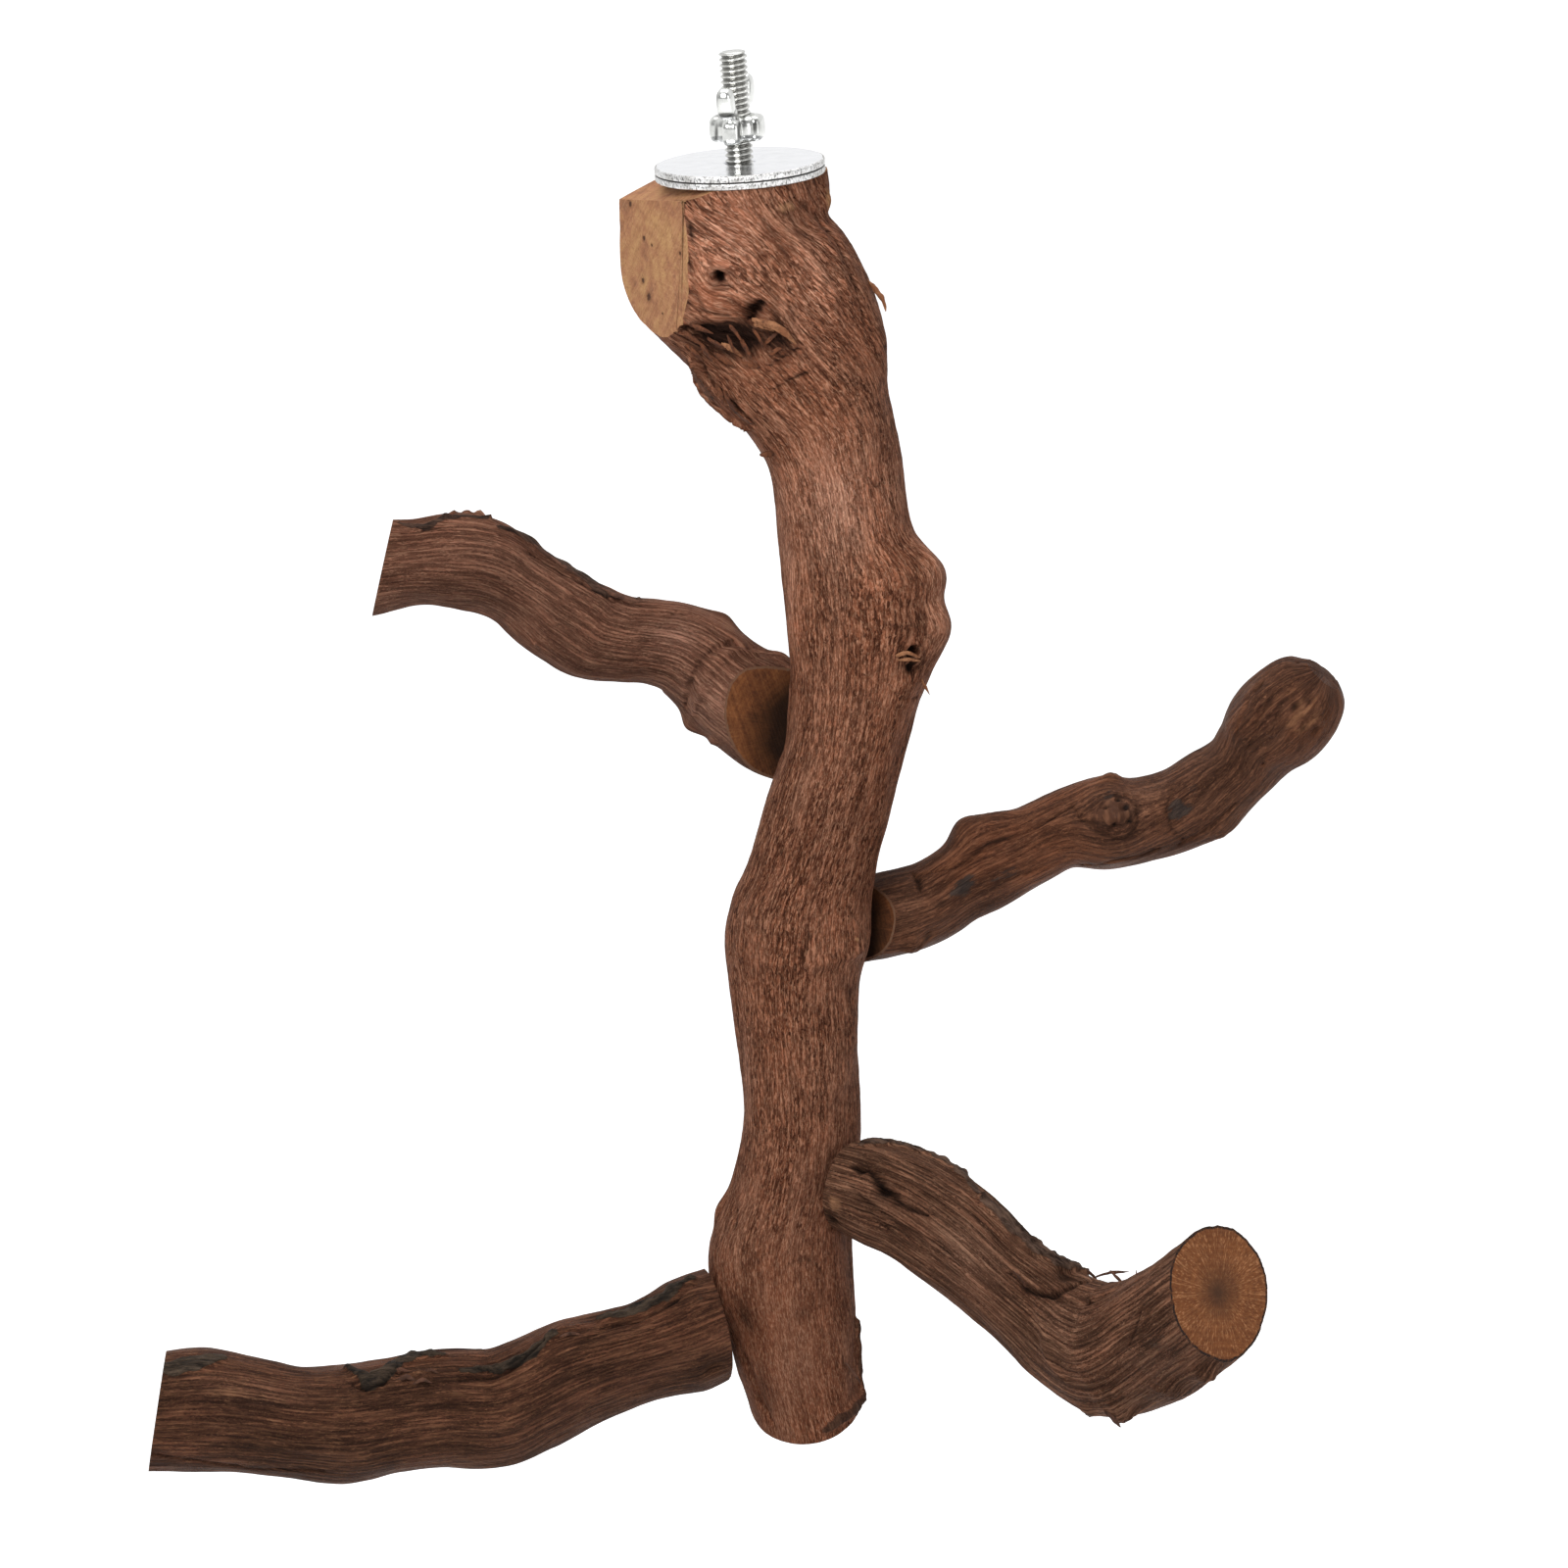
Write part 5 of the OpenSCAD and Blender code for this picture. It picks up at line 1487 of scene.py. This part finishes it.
makeBolt()
makeWasher("lower_washer_plate", -washerShape["thick"], "lower_washer", 1)
makeWasher("upper_washer_plate", 0.0, "upper_washer", 2)
print("washers made")


# A rounded block: an ellipsoid squared off by its power, tilted about the Y axis
def blockMesh(name, centre, halves, power, tilt):
    rows, around = nutShape["blockSides"]
    verts, faces = [], []

    def signedPower(value):
        return math.copysign(abs(value) ** (2 / power), value)

    c, s = math.cos(math.radians(tilt)), math.sin(math.radians(tilt))
    for i in range(rows + 1):
        climb = math.pi * (i / rows - 0.5)
        for k in range(around):
            turn = 2 * math.pi * k / around
            x = signedPower(math.cos(climb)) * signedPower(math.cos(turn)) * halves[0]
            y = signedPower(math.cos(climb)) * signedPower(math.sin(turn)) * halves[1]
            z = signedPower(math.sin(climb)) * halves[2]
            verts.append((centre[0] + x * c + z * s, centre[1] + y, centre[2] + z * c - x * s))
            if i < rows:
                n = (k + 1) % around
                faces.append((i * around + k, i * around + n, (i + 1) * around + n, (i + 1) * around + k))
    mesh = bpy.data.meshes.new(name)
    mesh.from_pydata(verts, [], faces)
    return mesh


# The wing nut: barrel, two side lobes, and a boss with a wing at each end, melted into one casting
def castNut(shape):
    work = bmesh.new()
    for name, centre, halves, power, tilt in shape["blocks"]:
        for side in ((1, -1) if any(centre[:2]) else (1,)):
            there = (centre[0] * side, centre[1] * side, centre[2])
            block = blockMesh(name, there, halves, power, tilt * side)
            work.from_mesh(block)
            bpy.data.meshes.remove(block)
    mesh = bpy.data.meshes.new("wing_nut_casting")
    work.to_mesh(mesh)
    work.free()
    closeMesh(mesh, smooth=False)
    piece = newPiece("wing_nut_casting", mesh)
    melt = piece.modifiers.new("melt", "REMESH")
    melt.mode = "VOXEL"
    melt.voxel_size = shape["voxel"]
    soften = piece.modifiers.new("soften", "SMOOTH")
    soften.factor = shape["softness"]
    soften.iterations = shape["softening"]
    return piece


# Bores the hole through the casting
def drillNut(piece, shape):
    low, high = shape["boreSpan"]
    profile = [(0.0, low), (shape["bore"], low), (shape["bore"], high), (0.0, high)]
    boreMesh = latheMesh("bore", profile, shape["boreSides"])
    closeMesh(boreMesh, smooth=False)
    bore = newPiece("bore", boreMesh)
    drill = piece.modifiers.new("drill", "BOOLEAN")
    drill.operation = "DIFFERENCE"
    drill.object = bore
    bpy.context.view_layer.update()
    graph = bpy.context.evaluated_depsgraph_get()
    solid = bpy.data.meshes.new_from_object(piece.evaluated_get(graph))
    piece.modifiers.clear()
    bpy.data.objects.remove(bore)
    piece.data = solid


# Paints shade into the casting's corners and a dark reflection onto its lobes, as the groove attribute:
# painted shade and painted reflection
def paintCornerShade(mesh, corners):
    spots = spotOf(np.array([v.co for v in mesh.vertices]))
    groove = np.zeros(len(spots))
    for right, down, wide, high, strength in corners:
        far = ((spots[:, 0] - right) / wide) ** 2 + ((spots[:, 1] - down) / high) ** 2
        groove = np.maximum(groove, np.exp(-far) * strength)
    layer = mesh.attributes.new("groove", "FLOAT", "POINT")
    layer.data.foreach_set("value", groove.astype(np.float32))


def makeNut():
    shape = nutShape
    piece = castNut(shape)
    drillNut(piece, shape)
    solid = piece.data
    solid.name = "wing_nut_casting"
    turned = Matrix.Rotation(math.radians(shape["turn"]), 4, "Z")
    solid.transform(Matrix.Translation((0, 0, shape["foot"])) @ turned)
    solid.materials.clear()
    solid.materials.append(materials["nutPlate"])
    closeMesh(solid)
    paintCornerShade(solid, shape["corners"])
    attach(piece, "nut_wings")
    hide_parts("wing_nut", "wing_nut_core")
    print("wing nut:", len(solid.polygons), "faces")


makeNut()

# The dowel screws are the solids themselves, plated like the bolt
for node in ("upper_left_dowel", "right_dowel", "lower_right_dowel", "lower_left_dowel"):
    screw = frame["nodes"][node]
    screw.data.materials.clear()
    screw.data.materials.append(materials["boltPlate"])

# Camera, stage and light
stage = {
    "floorHeight": -0.46, "floorSize": 40.0, "floorTint": (240, 240, 240), "floorGlow": 0.8,
    "worldLight": 0.4, "frontLight": 0.3, "frontEdge": -0.5, "backEdge": 0.3,
    # place, what it points at, width and height, power
    "softboxes": {
        "keyLight": ((-0.2, -0.5, 0.36), (0, 0, -0.1), (0.4, 0.4), 6.0),
        "fillLight": ((0.8, -0.7, 0.1), (0, 0, -0.15), (0.6, 0.8), 2.2),
        "topLight": ((0.05, 0.2, 0.6), (0, 0, -0.1), (0.6, 0.6), 2.0),
    },
}


def makeCamera():
    middle = picture["width"] / 2
    right = (middle - picture["originSpot"][0]) * pixel
    up = (picture["originSpot"][1] - middle) * pixel
    depth = ((cadLow + cadHigh) / 2).dot(Vector(screenIn))
    centre = right * screenRight + up * screenUp + depth * screenIn
    data = bpy.data.cameras.new("camera")
    data.sensor_width = picture["sensor"]
    data.lens = picture["sensor"] * picture["distance"] / (picture["width"] * pixel)
    data.clip_start, data.clip_end = picture["clip"]
    camera = newPiece("camera", data)
    camera.location = Vector(centre - picture["distance"] * screenIn)
    camera.rotation_mode = "QUATERNION"
    basis = np.stack([screenRight, screenUp, -screenIn], 1)
    camera.rotation_quaternion = Matrix(basis.tolist()).to_quaternion()
    bpy.context.scene.camera = camera


def raysOf(tree):
    return {output.name: Value(output) for output in addNode(tree, "ShaderNodeLightPath").outputs}


def makeFloor():
    size = stage["floorSize"] / 2
    mesh = bpy.data.meshes.new("floor")
    z = stage["floorHeight"]
    corners = [(-size, -size, z), (size, -size, z), (size, size, z), (-size, size, z)]
    mesh.from_pydata(corners, [], [(0, 1, 2, 3)])
    material, tree, shader = newMaterial("paleFloor")
    setInputs(shader, {"Base Color": tint(*stage["floorTint"]), "Roughness": 0.9})
    rays = raysOf(tree)
    seen = rays["Is Camera Ray"] + rays["Is Glossy Ray"] + rays["Is Transmission Ray"]
    glow = addNode(tree, "ShaderNodeEmission", {"Color": (1, 1, 1, 1), "Strength": seen * stage["floorGlow"]})
    both = addNode(tree, "ShaderNodeAddShader", {0: shader.outputs[0], 1: glow.outputs[0]})
    setInputs(tree.nodes["Material Output"], {0: both.outputs[0]})
    mesh.materials.append(material)
    floor = newPiece("floor", mesh)


def makeWorld():
    world = bpy.data.worlds.new("studio")
    bpy.context.scene.world = world
    world.use_nodes = True
    tree = world.node_tree
    tree.nodes.clear()
    rays = raysOf(tree)
    towards = separate(tree, addNode(tree, "ShaderNodeTexCoord").outputs["Generated"])[1]
    backdrop = towards.ramp(stage["frontEdge"], stage["backEdge"], stage["frontLight"], 1.0)
    seen = rays["Is Camera Ray"] + rays["Is Transmission Ray"]
    strength = (rays["Is Glossy Ray"] * backdrop).math("MAXIMUM", seen).math("MAXIMUM", stage["worldLight"])
    sky = addNode(tree, "ShaderNodeBackground", {"Color": (1, 1, 1, 1), "Strength": strength})
    addNode(tree, "ShaderNodeOutputWorld", {0: sky.outputs[0]})


def addSoftbox(name, place, target, size, power):
    data = bpy.data.lights.new(name, "AREA")
    data.shape = "RECTANGLE"
    data.size, data.size_y = size
    data.energy = power
    lamp = newPiece(name, data)
    lamp.location = place
    lamp.rotation_mode = "QUATERNION"
    lamp.rotation_quaternion = (Vector(target) - Vector(place)).to_track_quat("-Z", "Y")


makeCamera()
makeFloor()
makeWorld()
for name, lamp in stage["softboxes"].items():
    addSoftbox(name, *lamp)
print("stage set")
